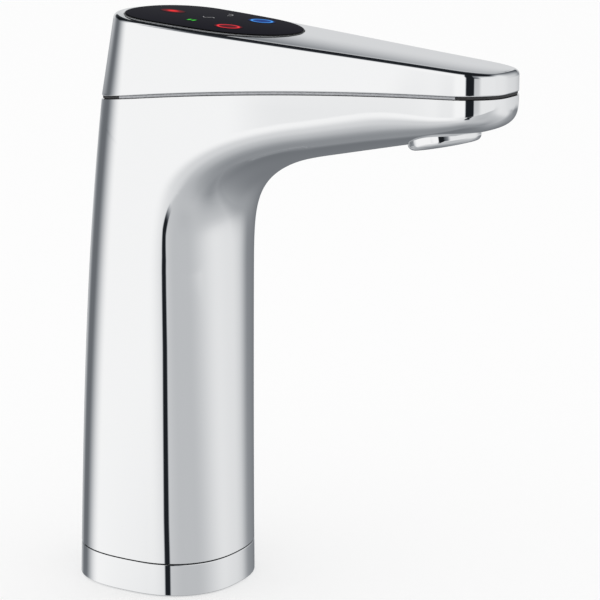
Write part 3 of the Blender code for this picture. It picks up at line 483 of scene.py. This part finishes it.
chromeLook = {"color": (0.885, 0.89, 0.895), "roughness": (0.012, 0.035), "scale": 60.0}
glassLook = {"color": (0.040, 0.040, 0.044), "edgeOn": (0.085, 0.084, 0.098),
             "roughness": (0.015, 0.03), "scale": 45.0}
steelLook = {"color": (0.62, 0.62, 0.63), "roughness": (0.22, 0.38), "scale": 260.0}
mouldedLook = {"grain": 900.0, "bump": 0.25, "bumpDepth": 0.00005, "stops": (0.35, 0.65)}
lampLook = {"unlit": 0.05, "flicker": (0.9, 1.1), "scale": 400.0}


def makeMetal(name, look, plain, detail):  # the noise moves its roughness
    material, tree, shader = newMaterial(name, look["color"], plain, 1.0)
    varyRoughness(tree, shader, noiseOn(tree, look["scale"], detail), *look["roughness"])
    return material, shader


def makeGlass():  # mirrors as little as black glass does, also where it is seen edge-on
    material, shader = makeMetal("blackGlass", glassLook, 0.03, 3.0)
    shader.inputs["Specular Tint"].default_value = (*glassLook["edgeOn"], 1)
    return material


def makeMoulded(name, dark, pale, roughness, grain=mouldedLook["grain"]):
    material, tree, shader = newMaterial(name, pale, roughness)
    noise = noiseOn(tree, grain, 2.0)
    varyColor(tree, shader, noise, dark, pale)
    addBump(tree, shader, noise, mouldedLook["bump"], mouldedLook["bumpDepth"])
    return material


def makeLamp(name, color, glow):
    unlit = [level * lampLook["unlit"] for level in color]
    material, tree, shader = newMaterial(name, unlit, 0.35)
    shader.inputs["Emission Color"].default_value = (*color, 1)
    noise = noiseOn(tree, lampLook["scale"], 1.0)
    level = tree.nodes.new("ShaderNodeMapRange")
    level.inputs["To Min"].default_value = glow * lampLook["flicker"][0]
    level.inputs["To Max"].default_value = glow * lampLook["flicker"][1]
    tree.links.new(noise.outputs["Fac"], level.inputs["Value"])
    tree.links.new(level.outputs["Result"], shader.inputs["Emission Strength"])
    return material


chromePlate = makeMetal("chromePlate", chromeLook, 0.03, 4.0)[0]
blackGlass = makeGlass()
darkRubber = makeMoulded("darkRubber", (0.018, 0.018, 0.019), (0.028, 0.028, 0.030), 0.6)
inkedRim = makeMoulded("inkedRim", (0.002, 0.002, 0.002), (0.004, 0.004, 0.004), 0.3)
inkedRim.node_tree.nodes["Principled BSDF"].inputs["Specular IOR Level"].default_value = 0.05
groundGlass = makeMoulded("groundGlass", (0.26, 0.27, 0.28), (0.31, 0.32, 0.33), 0.5)
# The gasket's pale grey is painted light: it stands for the light that the parting gap catches
paintedGapLight = makeMoulded("paintedGapLight", (0.38, 0.39, 0.41), (0.46, 0.47, 0.49), 0.45)
greyMoulding = makeMoulded("greyMoulding", (0.17, 0.18, 0.19), (0.22, 0.23, 0.24), 0.45)
whiteMoulding = makeMoulded("whiteMoulding", (0.72, 0.72, 0.70), (0.82, 0.82, 0.80), 0.4)
plainSteel = makeMetal("plainSteel", steelLook, 0.3, 4.0)[0]
boardGreen = makeMoulded("boardGreen", (0.015, 0.12, 0.05), (0.025, 0.18, 0.08), 0.4, 220.0)
milkyTube = makeMoulded("milkyTube", (0.72, 0.74, 0.74), (0.82, 0.84, 0.84), 0.35, 120.0)
print("materials made")


# Body: column and arm in one skin, with a wall and softened rims
bodyDetail = {
    "rows": {"column": 22, "turn": 40, "back": 26, "crown": 30, "arm": 22, "tip": 18},
    "half": 46, "holeLow": -0.0050, "holeHigh": 0.0080, "holeSteps": 96,
    "rimRadius": 0.0005, "rimSteps": 3, "rimTurn": math.radians(50),
}


def skinNormals(lines):  # outward normals of a grid of points, from their neighbours
    across = len(lines[0])
    normals = []
    for i, line in enumerate(lines):
        below, above = lines[max(i - 1, 0)], lines[min(i + 1, len(lines) - 1)]
        shut = (line[0] - line[-1]).length < shutWidth
        found = []
        for j in range(across):
            left, right = line[max(j - 1, 0)], line[min(j + 1, across - 1)]
            if shut and j in (0, across - 1):
                left, right = line[-2], line[1]
            found.append((right - left).cross(above[j] - below[j]).normalized())
        normals.append(found)
    normals[-1] = [Vector((1, 0, 0))] * across
    return normals


def makeBody():
    half = bodyDetail["half"]
    bottom = foot["ringLift"] + foot["ringHeight"] + foot["columnGap"]
    outer = []
    for front, end in shellStations(bottom, bodyDetail["rows"]):
        side = sectionPoints(front, end, half)
        outer.append([Vector((p.x, -p.y, p.z)) for p in reversed(side[1:])] + side)
    for point in outer[-1]:
        point.y = 0.0
    inner = [[p - n * column["wall"] for p, n in zip(line, normals)]
             for line, normals in zip(outer, skinNormals(outer))]
    openFrom = max(i for i, line in enumerate(outer[:-1])
                   if (line[0] - line[-1]).length < shutWidth)
    for point in inner[0]:
        point.z = bottom
    for line in inner:
        line[half].y = 0.0
    for point in inner[-1]:
        point.y = 0.0
    for line in inner[:openFrom + 1]:
        line[0].y = line[-1].y = 0.0
    for line in inner[openFrom:]:
        for end in (0, -1):
            line[end].z = rimLine(line[end].x)
    bm = bmesh.new()
    gridSkin(bm, outer)
    gridSkin(bm, inner)
    gridSkin(bm, [outer[0], inner[0]])
    for end in (0, -1):
        gridSkin(bm, [[line[end] for line in outer[openFrom:]],
                      [line[end] for line in inner[openFrom:]]])
    bmesh.ops.remove_doubles(bm, verts=bm.verts[:], dist=mergeDistance)
    bmesh.ops.dissolve_degenerate(bm, dist=mergeDistance, edges=bm.edges[:])
    body = finishPiece("bodyShell", bm, chromePlate, stands=["body_shell"])
    seat, bore = outlet["radius"] + outlet["clearance"], outlet["boreRadius"]
    low, high = bodyDetail["holeLow"], bodyDetail["holeHigh"]
    hole = spun([(0, low), (seat, low), (seat, outlet["seatDepth"]), (bore, outlet["seatDepth"]),
                 (bore, high), (0, high)], bodyDetail["holeSteps"])
    cutWith(body, cutter(hole, outletFrame))
    bevel = body.modifiers.new("softEdges", "BEVEL")
    bevel.width = bodyDetail["rimRadius"]
    bevel.segments = bodyDetail["rimSteps"]
    bevel.limit_method = "ANGLE"
    bevel.angle_limit = bodyDetail["rimTurn"]
    bevel.harden_normals = True
    return body


makeBody()
print("body made")


# Head cover: thin walls, a rounded top edge and a flat sloping roof with a seat for the glass
coverDetail = {"counts": {"back": 34, "side": 46, "tip": 26}, "edgeSteps": 9, "lipSteps": 4,
               "sideShares": (0.02, 0.33, 0.67, 0.985), "roofInsets": (1.08, 1.4),
               "crown": 0.30, "across": 24, "cutLow": -0.0080, "cutHigh": 0.0030}


def makeCover():
    counts = coverDetail["counts"]
    lip = head["lipRadius"]
    radius = head["edgeRadius"]

    def lowEdge(x):
        return partingLine(x) + head["coverGap"]

    low = headOutline(lowEdge, counts)
    edge = headOutline(lambda x: topPlane(x) - radius, counts)
    leaned = insetLoop(edge, head["lean"])  # the side leans in above the column
    edge = [a.lerp(b, 1 - smoothShare(a.x, head["leanUntil"], head["leanGone"]))
            for a, b in zip(edge, leaned)]
    edge = liftLoop(edge, lambda x: topPlane(x) - radius)
    loops = [liftLoop(insetLoop(low, head["wall"]), lowEdge)]
    for inset, up in lowerEdge(lip, coverDetail["lipSteps"]):
        loops.append(liftLoop(insetLoop(low, inset), lambda x, up=up: lowEdge(x) + up))
    for share in coverDetail["sideShares"]:
        loops.append([a.lerp(b, share) for a, b in zip(loops[-1], edge)])
    for inset, down in upperEdge(radius, coverDetail["edgeSteps"]):
        loops.append(liftLoop(insetLoop(edge, inset), lambda x, down=down: topPlane(x) - down))
    for inset in coverDetail["roofInsets"]:
        loops.append(liftLoop(insetLoop(edge, radius * inset), topPlane))
    ceiling = liftLoop(insetLoop(edge, head["wall"]), lambda x: topPlane(x) - head["roof"])
    bm = bmesh.new()
    closedSkin(bm, [ceiling] + loops)
    underside = [e for e in openLoops(bm) if e.verts[0].co.z < topPlane(e.verts[0].co.x) - radius]
    bmesh.ops.holes_fill(bm, edges=underside, sides=0)
    gridSkin(bm, crownedLines(loops[-1]))
    bmesh.ops.remove_doubles(bm, verts=bm.verts[:], dist=mergeDistance)
    cover = finishPiece("headCover", bm, chromePlate, stands=["top_cover"])
    low, high = coverDetail["cutLow"], coverDetail["cutHigh"]
    cutWith(cover, cutter(deckBlock(-panel["clearance"], -panel["seatDepth"], high), deckFrame))
    cutWith(cover, cutter(deckBlock(panel["ledge"], low, high), deckFrame))
    return cover


def crownedLines(rim):  # lines across the roof, a touch higher in the middle than at the rim
    count = coverDetail["across"]
    lines = []
    for near, far in zip(rim[:len(rim) // 2 + 1], rim[:1] + rim[:len(rim) // 2 - 1:-1]):
        line = []
        for k in range(count + 1):
            point = near.lerp(far, k / count)
            point.z += coverDetail["crown"] * (near.y ** 2 - point.y ** 2)
            line.append(point)
        lines.append(line)
    return lines


def glassOutline(margin, count=40):  # outline of the glass in the plane of the top face
    grow = 1 / math.cos(deckPitch)
    back = backLine(topPlane(backLine(head["topHeight"]))) + panel["backMargin"]
    widest = column["headWidest"]
    start = panel["front"] - panel["frontRun"]

    def halfAt(x):
        return wallHalfWidth(x, head["topHeight"]) - panel["margin"]

    half = []
    for a in spread(0.0, quarterTurn, count):
        x = widest - (widest - back) * math.cos(a)
        closed = closing((widest - x) / (widest - back), panel["backPower"])
        half.append((x, halfAt(widest) * closed))
    for x in spread(widest, start, count // 2):
        half.append((x, halfAt(x)))
    for a in spread(0.0, quarterTurn, count) + [quarterTurn]:
        x = start + panel["frontRun"] * math.sin(a) ** (2 / panel["frontPower"])
        half.append((x, halfAt(x) * closing((x - start) / panel["frontRun"], panel["frontPower"])))
    points = [Vector((x * grow, y, 0)) for x, y in half]
    points[0].y = points[-1].y = 0.0
    loop = [Vector((p.x, -p.y, 0)) for p in points] + points[-2:0:-1]
    return insetLoop(loop, margin) if margin else loop


def deckBlock(margin, low, high):
    bm = bmesh.new()
    outline = glassOutline(margin)
    closedSkin(bm, [levelLoop(outline, low), levelLoop(outline, high)])
    bmesh.ops.holes_fill(bm, edges=openLoops(bm), sides=0)
    return bm


makeCover()
print("head cover made")


# Touch glass, proud of the roof, with a rounded edge
glassDetail = {"bevelSteps": 8, "flatInset": 1.4, "inkTilt": 0.985, "sideTilt": 0.05}


def makeTouchGlass():
    loops = [levelLoop(glassOutline(0), panel["proud"] - panel["thickness"])]
    for inset, down in upperEdge(panel["bevel"], glassDetail["bevelSteps"]):
        loops.append(levelLoop(glassOutline(inset), panel["proud"] - down))
    flat = panel["bevel"] * glassDetail["flatInset"]
    loops.append(levelLoop(glassOutline(flat), panel["proud"]))
    bm = bmesh.new()
    closedSkin(bm, loops)
    bmesh.ops.holes_fill(bm, edges=openLoops(bm), sides=0)
    bm.normal_update()
    for face in bm.faces:  # the black ink ends above a ground side
        level = abs(face.normal.z)
        face.material_index = (level < glassDetail["inkTilt"]) + (level < glassDetail["sideTilt"])
    glass = finishPiece("touchGlass", bm, blackGlass, stands=["touch_glass"],
                        turn=deckFrame)
    glass.data.materials.append(inkedRim)
    glass.data.materials.append(groundGlass)
    evenNormals(glass)
    return glass


makeTouchGlass()
print("touch glass made")


# Foot ring
def footLoop(inset, z, count=60):
    return levelLoop(insetLoop(columnOutline(z, count), inset), z)


def makeFootRing():
    low, high = foot["ringLift"], foot["ringLift"] + foot["ringHeight"]
    edge = foot["ringEdge"], foot["edgeSteps"]
    loops = [footLoop(foot["ringWall"], low)]
    loops += [footLoop(inset, low + up) for inset, up in lowerEdge(*edge)]
    loops += [footLoop(inset, high - down) for inset, down in upperEdge(*edge)]
    loops.append(footLoop(foot["ringWall"], high))
    bm = bmesh.new()
    closedSkin(bm, loops + loops[:1])
    bmesh.ops.remove_doubles(bm, verts=bm.verts[:], dist=mergeDistance)
    ring = finishPiece("footRing", bm, chromePlate, stands=["base_ring"])
    evenNormals(ring)
    return ring


makeFootRing()
print("foot ring made")


# Gasket in the shadow line under the cover, painted: pale light on the sides, dark shade at both
# ends
gasket = {"inset": 0.0005, "width": 0.0030, "low": -0.0006, "high": 0.0004,
          "round": 0.0002, "roundSteps": 3,
          "skirt": 0.0010, "skirtLow": -0.00085, "paintedLightSpan": (0.0005, 0.1525)}


def makeGasket():
    counts = coverDetail["counts"]
    low, high = gasket["low"], gasket["high"]
    outline = headOutline(partingLine, counts)

    def loopAt(inset, up):
        return liftLoop(insetLoop(outline, inset), lambda x: partingLine(x) + up)

    skirt = gasket["inset"] + gasket["skirt"]
    loops = [loopAt(gasket["inset"] + gasket["width"], gasket["skirtLow"]),
             loopAt(skirt, gasket["skirtLow"]), loopAt(skirt, low)]
    edge = gasket["round"], gasket["roundSteps"]
    loops += [loopAt(gasket["inset"] + inset, low + up) for inset, up in lowerEdge(*edge)]
    loops += [loopAt(gasket["inset"] + inset, high - down) for inset, down in upperEdge(*edge)]
    loops.append(loopAt(gasket["inset"] + gasket["width"], high))
    bm = bmesh.new()
    closedSkin(bm, loops + loops[:1])
    bmesh.ops.remove_doubles(bm, verts=bm.verts[:], dist=mergeDistance)
    # Painted shade: faces round both ends take the dark rubber, and those along the sides the pale
    # painted light
    start, end = gasket["paintedLightSpan"]
    for face in bm.faces:
        face.material_index = int(not start < face.calc_center_median().x < end)
    piece = finishPiece("partingGasket", bm, paintedGapLight, stands=["parting_gasket"])
    piece.data.materials.append(darkRubber)
    return piece


makeGasket()
print("gasket made")


# Outlet ring with a real screw thread, its seal and the flow insert
thread = {"pitch": 0.0010, "depth": 0.0004, "low": 0.0034, "high": 0.0060, "stepsPerTurn": 60,
          "rootShare": 0.42, "crestShare": 0.25, "sunk": 1.05}


def makeNozzle():
    rim, low = outlet["rimRadius"], -outlet["drop"]
    shoulder = outlet["seatDepth"] - outlet["clearance"]
    neck = outlet["threadRadius"] - thread["depth"]
    insertBore = outlet["insertRadius"] + outlet["insertGap"]
    stop = outlet["insertHigh"] + outlet["insertGap"]
    lip, edge = outlet["lip"], outlet["shoulderEdge"]
    profile = [(insertBore, outlet["insertLow"])]
    profile += [(outlet["mouth"], low + lip)]
    profile += arc(outlet["mouth"] + lip, low + lip, lip, math.pi, math.pi * 1.5, 4)[1:]
    profile += arc(outlet["radius"] - rim, low + rim, rim, -quarterTurn, 0, 8)
    profile += [(outlet["radius"], shoulder - edge), (outlet["radius"] - edge, shoulder),
                (neck, shoulder), (neck, outlet["grooveLow"]),
                (outlet["grooveRadius"], outlet["grooveLow"]),
                (outlet["grooveRadius"], outlet["grooveHigh"]),
                (outlet["threadRadius"], outlet["grooveHigh"]),
                (outlet["threadRadius"], outlet["threadTop"]),
                (outlet["throat"], outlet["threadTop"]), (outlet["throat"], stop),
                (insertBore, stop)]
    ring = finishPiece("outletRing", spun(profile, outlet["ringSteps"]), chromePlate,
                       "nozzle", ["outlet_nozzle"], turn=outletFrame)
    evenNormals(ring)
    return ring


def makeThread():  # a ridge that climbs round the neck
    turns = (thread["high"] - thread["low"]) / thread["pitch"]
    neck = outlet["threadRadius"] - thread["depth"] * thread["sunk"]
    half = thread["pitch"] * thread["rootShare"]
    crest = half * thread["crestShare"]
    ridge = [(neck, -half), (outlet["threadRadius"], -crest),
             (outlet["threadRadius"], crest), (neck, half)]
    bm = bmesh.new()
    verts = [bm.verts.new((radius, 0, thread["low"] + z)) for radius, z in ridge]
    start = bm.faces.new(verts)
    steps = round(turns * thread["stepsPerTurn"])
    bmesh.ops.spin(bm, geom=verts + start.edges[:] + [start], cent=(0, 0, 0), axis=(0, 0, 1),
                   angle=fullTurn * turns, steps=steps, use_merge=False,
                   dvec=(0, 0, thread["pitch"] * turns / steps))
    return finishPiece("outletThread", bm, chromePlate, "nozzle",
                       turn=outletFrame)


def makeSeal():
    section = outlet["sealSection"]
    middle = outlet["grooveRadius"] + section + outlet["sealStretch"]
    height = (outlet["grooveLow"] + outlet["grooveHigh"]) / 2
    ring = arc(middle, height, section, 0, fullTurn, outlet["sealSides"])[:-1]
    return finishPiece("outletSeal", spun(ring, outlet["sealSteps"]), darkRubber,
                       "nozzle_travel", ["outlet_seal"], turn=outletFrame)


insert = {"cell": 0.00135, "pitch": 0.0031, "rim": 0.0006, "web": 1.3, "rows": 3, "places": 4,
          "steps": 72}


def makeInsert():  # a disc with a honeycomb of six-sided holes
    low, high = outlet["insertLow"], outlet["insertHigh"]
    rim = outlet["insertRadius"] - insert["rim"]
    bm = bmesh.new()
    bmesh.ops.create_circle(bm, cap_ends=False, segments=insert["steps"], radius=rim)
    for row in range(-insert["rows"], insert["rows"] + 1):
        for place in range(-insert["places"], insert["places"] + 1):
            x = insert["pitch"] * (place + row / 2)
            y = insert["pitch"] * row * math.sqrt(3) / 2
            if math.hypot(x, y) < rim - insert["cell"] * insert["web"]:
                bmesh.ops.create_circle(bm, cap_ends=False, segments=6, radius=insert["cell"],
                                        matrix=Matrix.Translation((x, y, 0)))
    bmesh.ops.triangle_fill(bm, edges=bm.edges[:], use_beauty=True, normal=(0, 0, 1))
    thicken(bm, low, high)
    return finishPiece("flowInsert", bm, whiteMoulding, "nozzle", ["flow_insert"],
                       turn=outletFrame)


makeNozzle()
makeThread()
makeSeal()
makeInsert()
print("outlet made")


# Marks on the panel: touch rings and lamps that shine through the glass, and two grey prints
marks = {
    "thickness": 0.00005, "lift": 0.00001, "haloRadius": 0.0063,
    "hot": (0.0413, -0.0113), "cold": (0.0413, 0.0163),
    "alert": (0.0037, 0.0035), "alertReach": (0.0060, 0.0050),
    "ready": (0.0227, -0.0110), "readyShift": 0.0011, "readyReach": (0.0011, 0.0030),
    "wave": (0.0228, 0.0025), "waveSize": (0.0026, 0.0016), "waveWidth": 0.0005,
    "bow": (0.0235, 0.0165), "bowSize": (0.0022, 0.0030), "bowTurns": (-0.9, 2.2),
    "bowWidth": 0.0006, "lampSteps": 64, "waveSteps": 12, "bowSteps": 20,
}
hotGlow = makeLamp("hotGlow", (0.90, 0.02, 0.02), 1.0)
coldGlow = makeLamp("coldGlow", (0.02, 0.22, 1.0), 1.2)
readyGlow = makeLamp("readyGlow", (0.05, 0.85, 0.06), 1.0)
greyPrint = makeMoulded("greyPrint", (0.28, 0.28, 0.29), (0.42, 0.42, 0.43), 0.5)
lampStops = {  # share of the halo's radius and colour of the light there
    "hot": [(0.0, (0.07, 0.002, 0.004)), (0.60, (0.10, 0.003, 0.006)), (0.67, (1.0, 0.035, 0.045)),
            (0.74, (1.0, 0.035, 0.045)), (0.82, (0.11, 0.002, 0.003)), (1.0, (0.0, 0.0, 0.0))],
    "cold": [(0.0, (0.002, 0.035, 0.19)), (0.60, (0.003, 0.05, 0.27)), (0.67, (0.06, 0.36, 0.95)),
             (0.74, (0.06, 0.36, 0.95)), (0.82, (0.0, 0.02, 0.11)), (1.0, (0.0, 0.0, 0.0))],
    "alert": [(0.0, (1.0, 0.02, 0.02)), (0.30, (0.85, 0.012, 0.012)), (0.50, (0.20, 0.002, 0.002)),
              (1.0, (0.0, 0.0, 0.0))],
    "ready": [(0.0, (0.12, 1.0, 0.10)), (0.45, (0.04, 0.62, 0.03)), (0.65, (0.004, 0.08, 0.003)),
              (1.0, (0.0, 0.0, 0.0))],
}


def makeHalo(name, centre, reach, stops):  # light that fades with the distance from the lamp
    material, tree, shader = newMaterial(name, glassLook["color"], 0.03, 1.0)
    shader.inputs["Specular Tint"].default_value = (*glassLook["edgeOn"], 1)
    place = tree.nodes.new("ShaderNodeTexCoord")
    away = tree.nodes.new("ShaderNodeVectorMath")
    away.operation = "SUBTRACT"
    away.inputs[1].default_value = centre
    squeeze = tree.nodes.new("ShaderNodeVectorMath")
    squeeze.operation = "MULTIPLY"
    squeeze.inputs[1].default_value = (1 / reach[0], 1 / reach[1], 0)
    length = tree.nodes.new("ShaderNodeVectorMath")
    length.operation = "LENGTH"
    ramp = newRamp(tree, stops)
    tree.links.new(place.outputs["Object"], away.inputs[0])
    tree.links.new(away.outputs["Vector"], squeeze.inputs[0])
    tree.links.new(squeeze.outputs["Vector"], length.inputs[0])
    tree.links.new(length.outputs["Value"], ramp.inputs["Fac"])
    tree.links.new(ramp.outputs["Color"], shader.inputs["Emission Color"])
    shader.inputs["Emission Strength"].default_value = 1.0
    return material


def flatPiece(name, bm, material):  # a thin mark on the glass
    low = panel["proud"] + marks["lift"]
    thicken(bm, low, low + marks["thickness"])
    return finishPiece(name, bm, material, turn=deckFrame)


def lampMark(name, x, y, reach, stops):
    bm = bmesh.new()
    place = Matrix.Translation((x, y, 0)) @ Matrix.Diagonal((*reach, 1, 1))
    bmesh.ops.create_circle(bm, cap_ends=True, segments=marks["lampSteps"], radius=1.0,
                            matrix=place)
    centre = deckFrame @ Vector((x, y, panel["proud"]))
    return flatPiece(name, bm, makeHalo(name + "Light", centre, reach, stops))


def strokeMark(name, points, width, material):
    bm = bmesh.new()
    lines = [[], []]
    for k, point in enumerate(points):
        along = points[min(k + 1, len(points) - 1)] - points[max(k - 1, 0)]
        across = Vector((-along.y, along.x, 0)).normalized() * width / 2
        lines[0].append(point - across)
        lines[1].append(point + across)
    gridSkin(bm, lines)
    return flatPiece(name, bm, material)


def makeMarks():
    halo = (marks["haloRadius"], marks["haloRadius"])
    for name, reach in (("hot", halo), ("cold", halo), ("alert", marks["alertReach"])):
        lampMark(name + "Mark", *marks[name], reach, lampStops[name])
    x, y = marks["ready"]
    for k, side in enumerate((-1, 1)):
        lampMark(f"readyMark{k + 1}", x + side * marks["readyShift"], y,
                 marks["readyReach"], lampStops["ready"])
    (x, y), (long, high) = marks["wave"], marks["waveSize"]
    steps = marks["waveSteps"]
    wave = [Vector((x + t * long, y + high * math.sin(t * math.pi), 0))
            for t in (i / steps for i in range(-steps, steps + 1))]
    strokeMark("waveMark", wave, marks["waveWidth"], greyPrint)
    (x, y), (long, high) = marks["bow"], marks["bowSize"]
    bow = [Vector((x + long * math.cos(a), y + high * math.sin(a), 0))
           for a in spread(*marks["bowTurns"], marks["bowSteps"])]
    strokeMark("bowMark", bow, marks["bowWidth"], greyPrint)


makeMarks()
print("marks made")


# Finishes of the carried-over pieces
nodeFinishes = {
    "glass_pad": darkRubber, "foot_seal": darkRubber, "signal_cable": darkRubber,
    "column_collar": greyMoulding, "tube_guide": greyMoulding, "head_chassis": greyMoulding,
    "board_tray": greyMoulding, "outlet_manifold": greyMoulding,
    "touch_board": boardGreen, "hot_tube": milkyTube, "chilled_tube": milkyTube,
    "hot_light_ring": hotGlow, "cold_light_ring": coldGlow, "alert_lamp": hotGlow,
    "ready_lamp_1": readyGlow, "ready_lamp_2": readyGlow,
}
replaced = ("body_shell", "top_cover", "base_ring", "touch_glass", "parting_gasket",
            "outlet_nozzle", "outlet_seal", "flow_insert")
for name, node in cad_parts.items():
    if name not in replaced:
        node.data.materials.clear()
        node.data.materials.append(nodeFinishes.get(name, plainSteel))
print("nodes finished")


# Floor, light and camera
studio = {"floorSize": 6.0, "floorShade": 0.5, "cameraPlace": (0.56276, -0.85421, 0.34677),
          "cameraTurn": (77.8, 0.0, 30.0), "lens": 140.58, "sensorWidth": 36.0}


def makeFloor():
    bm = bmesh.new()
    bmesh.ops.create_grid(bm, x_segments=8, y_segments=8, size=studio["floorSize"])
    mesh = bpy.data.meshes.new("floor")
    bm.to_mesh(mesh)
    bm.free()
    floor = bpy.data.objects.new("floor", mesh)
    bpy.context.scene.collection.objects.link(floor)
    material, tree, shader = newMaterial("paleFloor", (0.99, 0.99, 0.99), 0.9)
    mesh.materials.append(material)
    glow = tree.nodes.new("ShaderNodeEmission")
    glow.inputs["Strength"].default_value = 1.0
    blend = tree.nodes.new("ShaderNodeMixShader")
    path = tree.nodes.new("ShaderNodeLightPath")
    share = tree.nodes.new("ShaderNodeMath")
    share.operation = "MULTIPLY"
    share.inputs[1].default_value = studio["floorShade"]
    tree.links.new(path.outputs["Is Camera Ray"], share.inputs[0])
    tree.links.new(share.outputs[0], blend.inputs[0])
    tree.links.new(shader.outputs[0], blend.inputs[1])
    tree.links.new(glow.outputs[0], blend.inputs[2])
    tree.links.new(blend.outputs[0], tree.nodes["Material Output"].inputs["Surface"])
    floor.visible_glossy = False
    return floor


# What the chrome mirrors, painted over each other in this order: the middle, half width and soft
# edge in degrees from +X, the lower and upper height above the horizon, each with its soft edge,
# and the level of its light
softBoxes = {
    "frontLeft": ((-139.5, 61.4, 5.5), (-38.0, 10.3), (64.0, 4.0), 1.01),
    "right": ((16.8, 60.0, 30.0), (-21.0, 11.0), (74.8, 3.2), 0.86),
    "lowRight": ((-33.3, 43.0, 31.1), (-63.8, 30.0), (-10.5, 3.0), 0.55),
    "farRight": ((101.2, 35.1, 11.3), (-79.4, 15.3), (-9.6, 1.6), 0.18),
    "farLeft": ((165.3, 21.5, 17.2), (-27.6, 11.3), (63.2, 9.3), 0.15),
    "leftHigh": ((152.0, 21.0, 8.0), (17.0, 6.0), (90.0, 5.0), 0.008),
    "farHigh": ((124.0, 7.4, 2.3), (3.8, 5.0), (63.7, 29.0), 0.01),
    "ceiling": ((5.8, 150.0, 6.5), (50.0, 12.0), (97.6, 5.2), 0.01),
    "farLow": ((123.9, 28.0, 14.9), (-3.5, 2.5), (12.7, 1.8), 0.7),
    "underLeft": ((-110.0, 24.8, 37.4), (-55.0, 28.0), (-23.0, 9.0), 0.66),
    "underFront": ((-31.7, 16.8, 15.5), (-25.5, 21.9), (-35.0, 16.7), 0.23),
    "underRight": ((75.0, 9.2, 40.0), (-64.7, 30.0), (-15.5, 26.1), 0.49),
    "armSide": ((-100.5, 4.5, 3.0), (-10.5, 1.5), (-6.5, 1.5), 0.905),
    "noseFront": ((-20.0, 28.0, 6.0), (-12.0, 1.0), (30.0, 8.0), 0.88),
    "lowGap": ((-71.8, 5.0, 1.5), (-26.0, 4.0), (-12.4, 1.0), 0.013),
    "highGap": ((-72.3, 8.4, 1.4), (-12.4, 1.0), (60.0, 8.0), 0.012),
}
slants = {"lowGap": (-19.0, -15.0, -75.6)}  # between which heights the middle moves, and where from
floorBounce = [(-90, 0.289), (-76, 0.28), (-65, 0.30), (-53, 0.408), (-37, 0.533), (-24, 0.635),
               (-12, 0.95), (0, 0.0), (30, 0.147), (60, 0.054), (90, 0.003)]
coolTint = (1.0, 0.965, 0.92)


def makeWorld():
    world = bpy.data.worlds.new("studioLight")
    world.use_nodes = True
    bpy.context.scene.world = world
    tree = world.node_tree

    def maths(operation, first, second=None, third=None):
        node = tree.nodes.new("ShaderNodeMath")
        node.operation = operation
        for place, value in enumerate((first, second, third)):
            if value is None:
                continue
            if isinstance(value, (int, float)):
                node.inputs[place].default_value = value
            else:
                tree.links.new(value, node.inputs[place])
        return node.outputs[0]

    def ranged(value, low, high, start, end, way="LINEAR"):
        node = tree.nodes.new("ShaderNodeMapRange")
        node.interpolation_type = way
        tree.links.new(value, node.inputs["Value"])
        limits = {"From Min": low, "From Max": high, "To Min": start, "To Max": end}
        for name, limit in limits.items():
            node.inputs[name].default_value = limit
        return node.outputs["Result"]

    def eased(value, edge, start, end):  # eases over a height or angle and its soft edge
        middle, soft = edge
        return ranged(value, middle - soft, middle + soft, start, end, "SMOOTHSTEP")

    def painted(share, under, level):
        return maths("ADD", maths("MULTIPLY", share, maths("SUBTRACT", level, under)), under)

    sky = tree.nodes.new("ShaderNodeTexCoord")
    split = tree.nodes.new("ShaderNodeSeparateXYZ")
    tree.links.new(sky.outputs["Generated"], split.inputs[0])
    x, y, z = split.outputs
    turn = maths("DEGREES", maths("ARCTAN2", y, x))
    rise = maths("DEGREES", maths("ARCSINE", z))

    bounce = newRamp(tree, [((angle + 90) / 180, [level] * 3) for angle, level in floorBounce])
    tree.links.new(maths("DIVIDE", maths("ADD", rise, 90.0), 180.0), bounce.inputs["Fac"])
    light = bounce.outputs["Color"]
    for name, ((centre, half, soft), low, high, level) in softBoxes.items():
        if name in slants:
            start, end, lowest = slants[name]
            centre = ranged(rise, start, end, lowest, centre)
        aside = maths("ABSOLUTE", maths("WRAP", maths("SUBTRACT", turn, centre), 180.0, -180.0))
        between = maths("MULTIPLY", eased(rise, low, 0.0, 1.0), eased(rise, high, 1.0, 0.0))
        inside = maths("MULTIPLY", eased(aside, (half, soft), 1.0, 0.0), between)
        light = painted(inside, light, level)
    tinted = tree.nodes.new("ShaderNodeCombineColor")
    for place, power in enumerate(coolTint):
        tree.links.new(maths("POWER", light, power), tinted.inputs[place])

    path = tree.nodes.new("ShaderNodeLightPath")
    blend = tree.nodes.new("ShaderNodeMixShader")
    plain = tree.nodes["Background"]
    plain.inputs["Color"].default_value = (1, 1, 1, 1)
    boxes = tree.nodes.new("ShaderNodeBackground")
    tree.links.new(tinted.outputs[0], boxes.inputs["Color"])
    tree.links.new(path.outputs["Is Glossy Ray"], blend.inputs[0])
    tree.links.new(plain.outputs[0], blend.inputs[1])
    tree.links.new(boxes.outputs[0], blend.inputs[2])
    tree.links.new(blend.outputs[0], tree.nodes["World Output"].inputs["Surface"])


def makeCamera():
    data = bpy.data.cameras.new("camera")
    data.lens = studio["lens"]
    data.sensor_width = studio["sensorWidth"]
    camera = bpy.data.objects.new("camera", data)
    camera.location = studio["cameraPlace"]
    camera.rotation_euler = [math.radians(a) for a in studio["cameraTurn"]]
    bpy.context.scene.collection.objects.link(camera)
    bpy.context.scene.camera = camera


makeFloor()
makeWorld()
makeCamera()
bpy.context.scene.view_settings.view_transform = "Standard"
print("studio made")
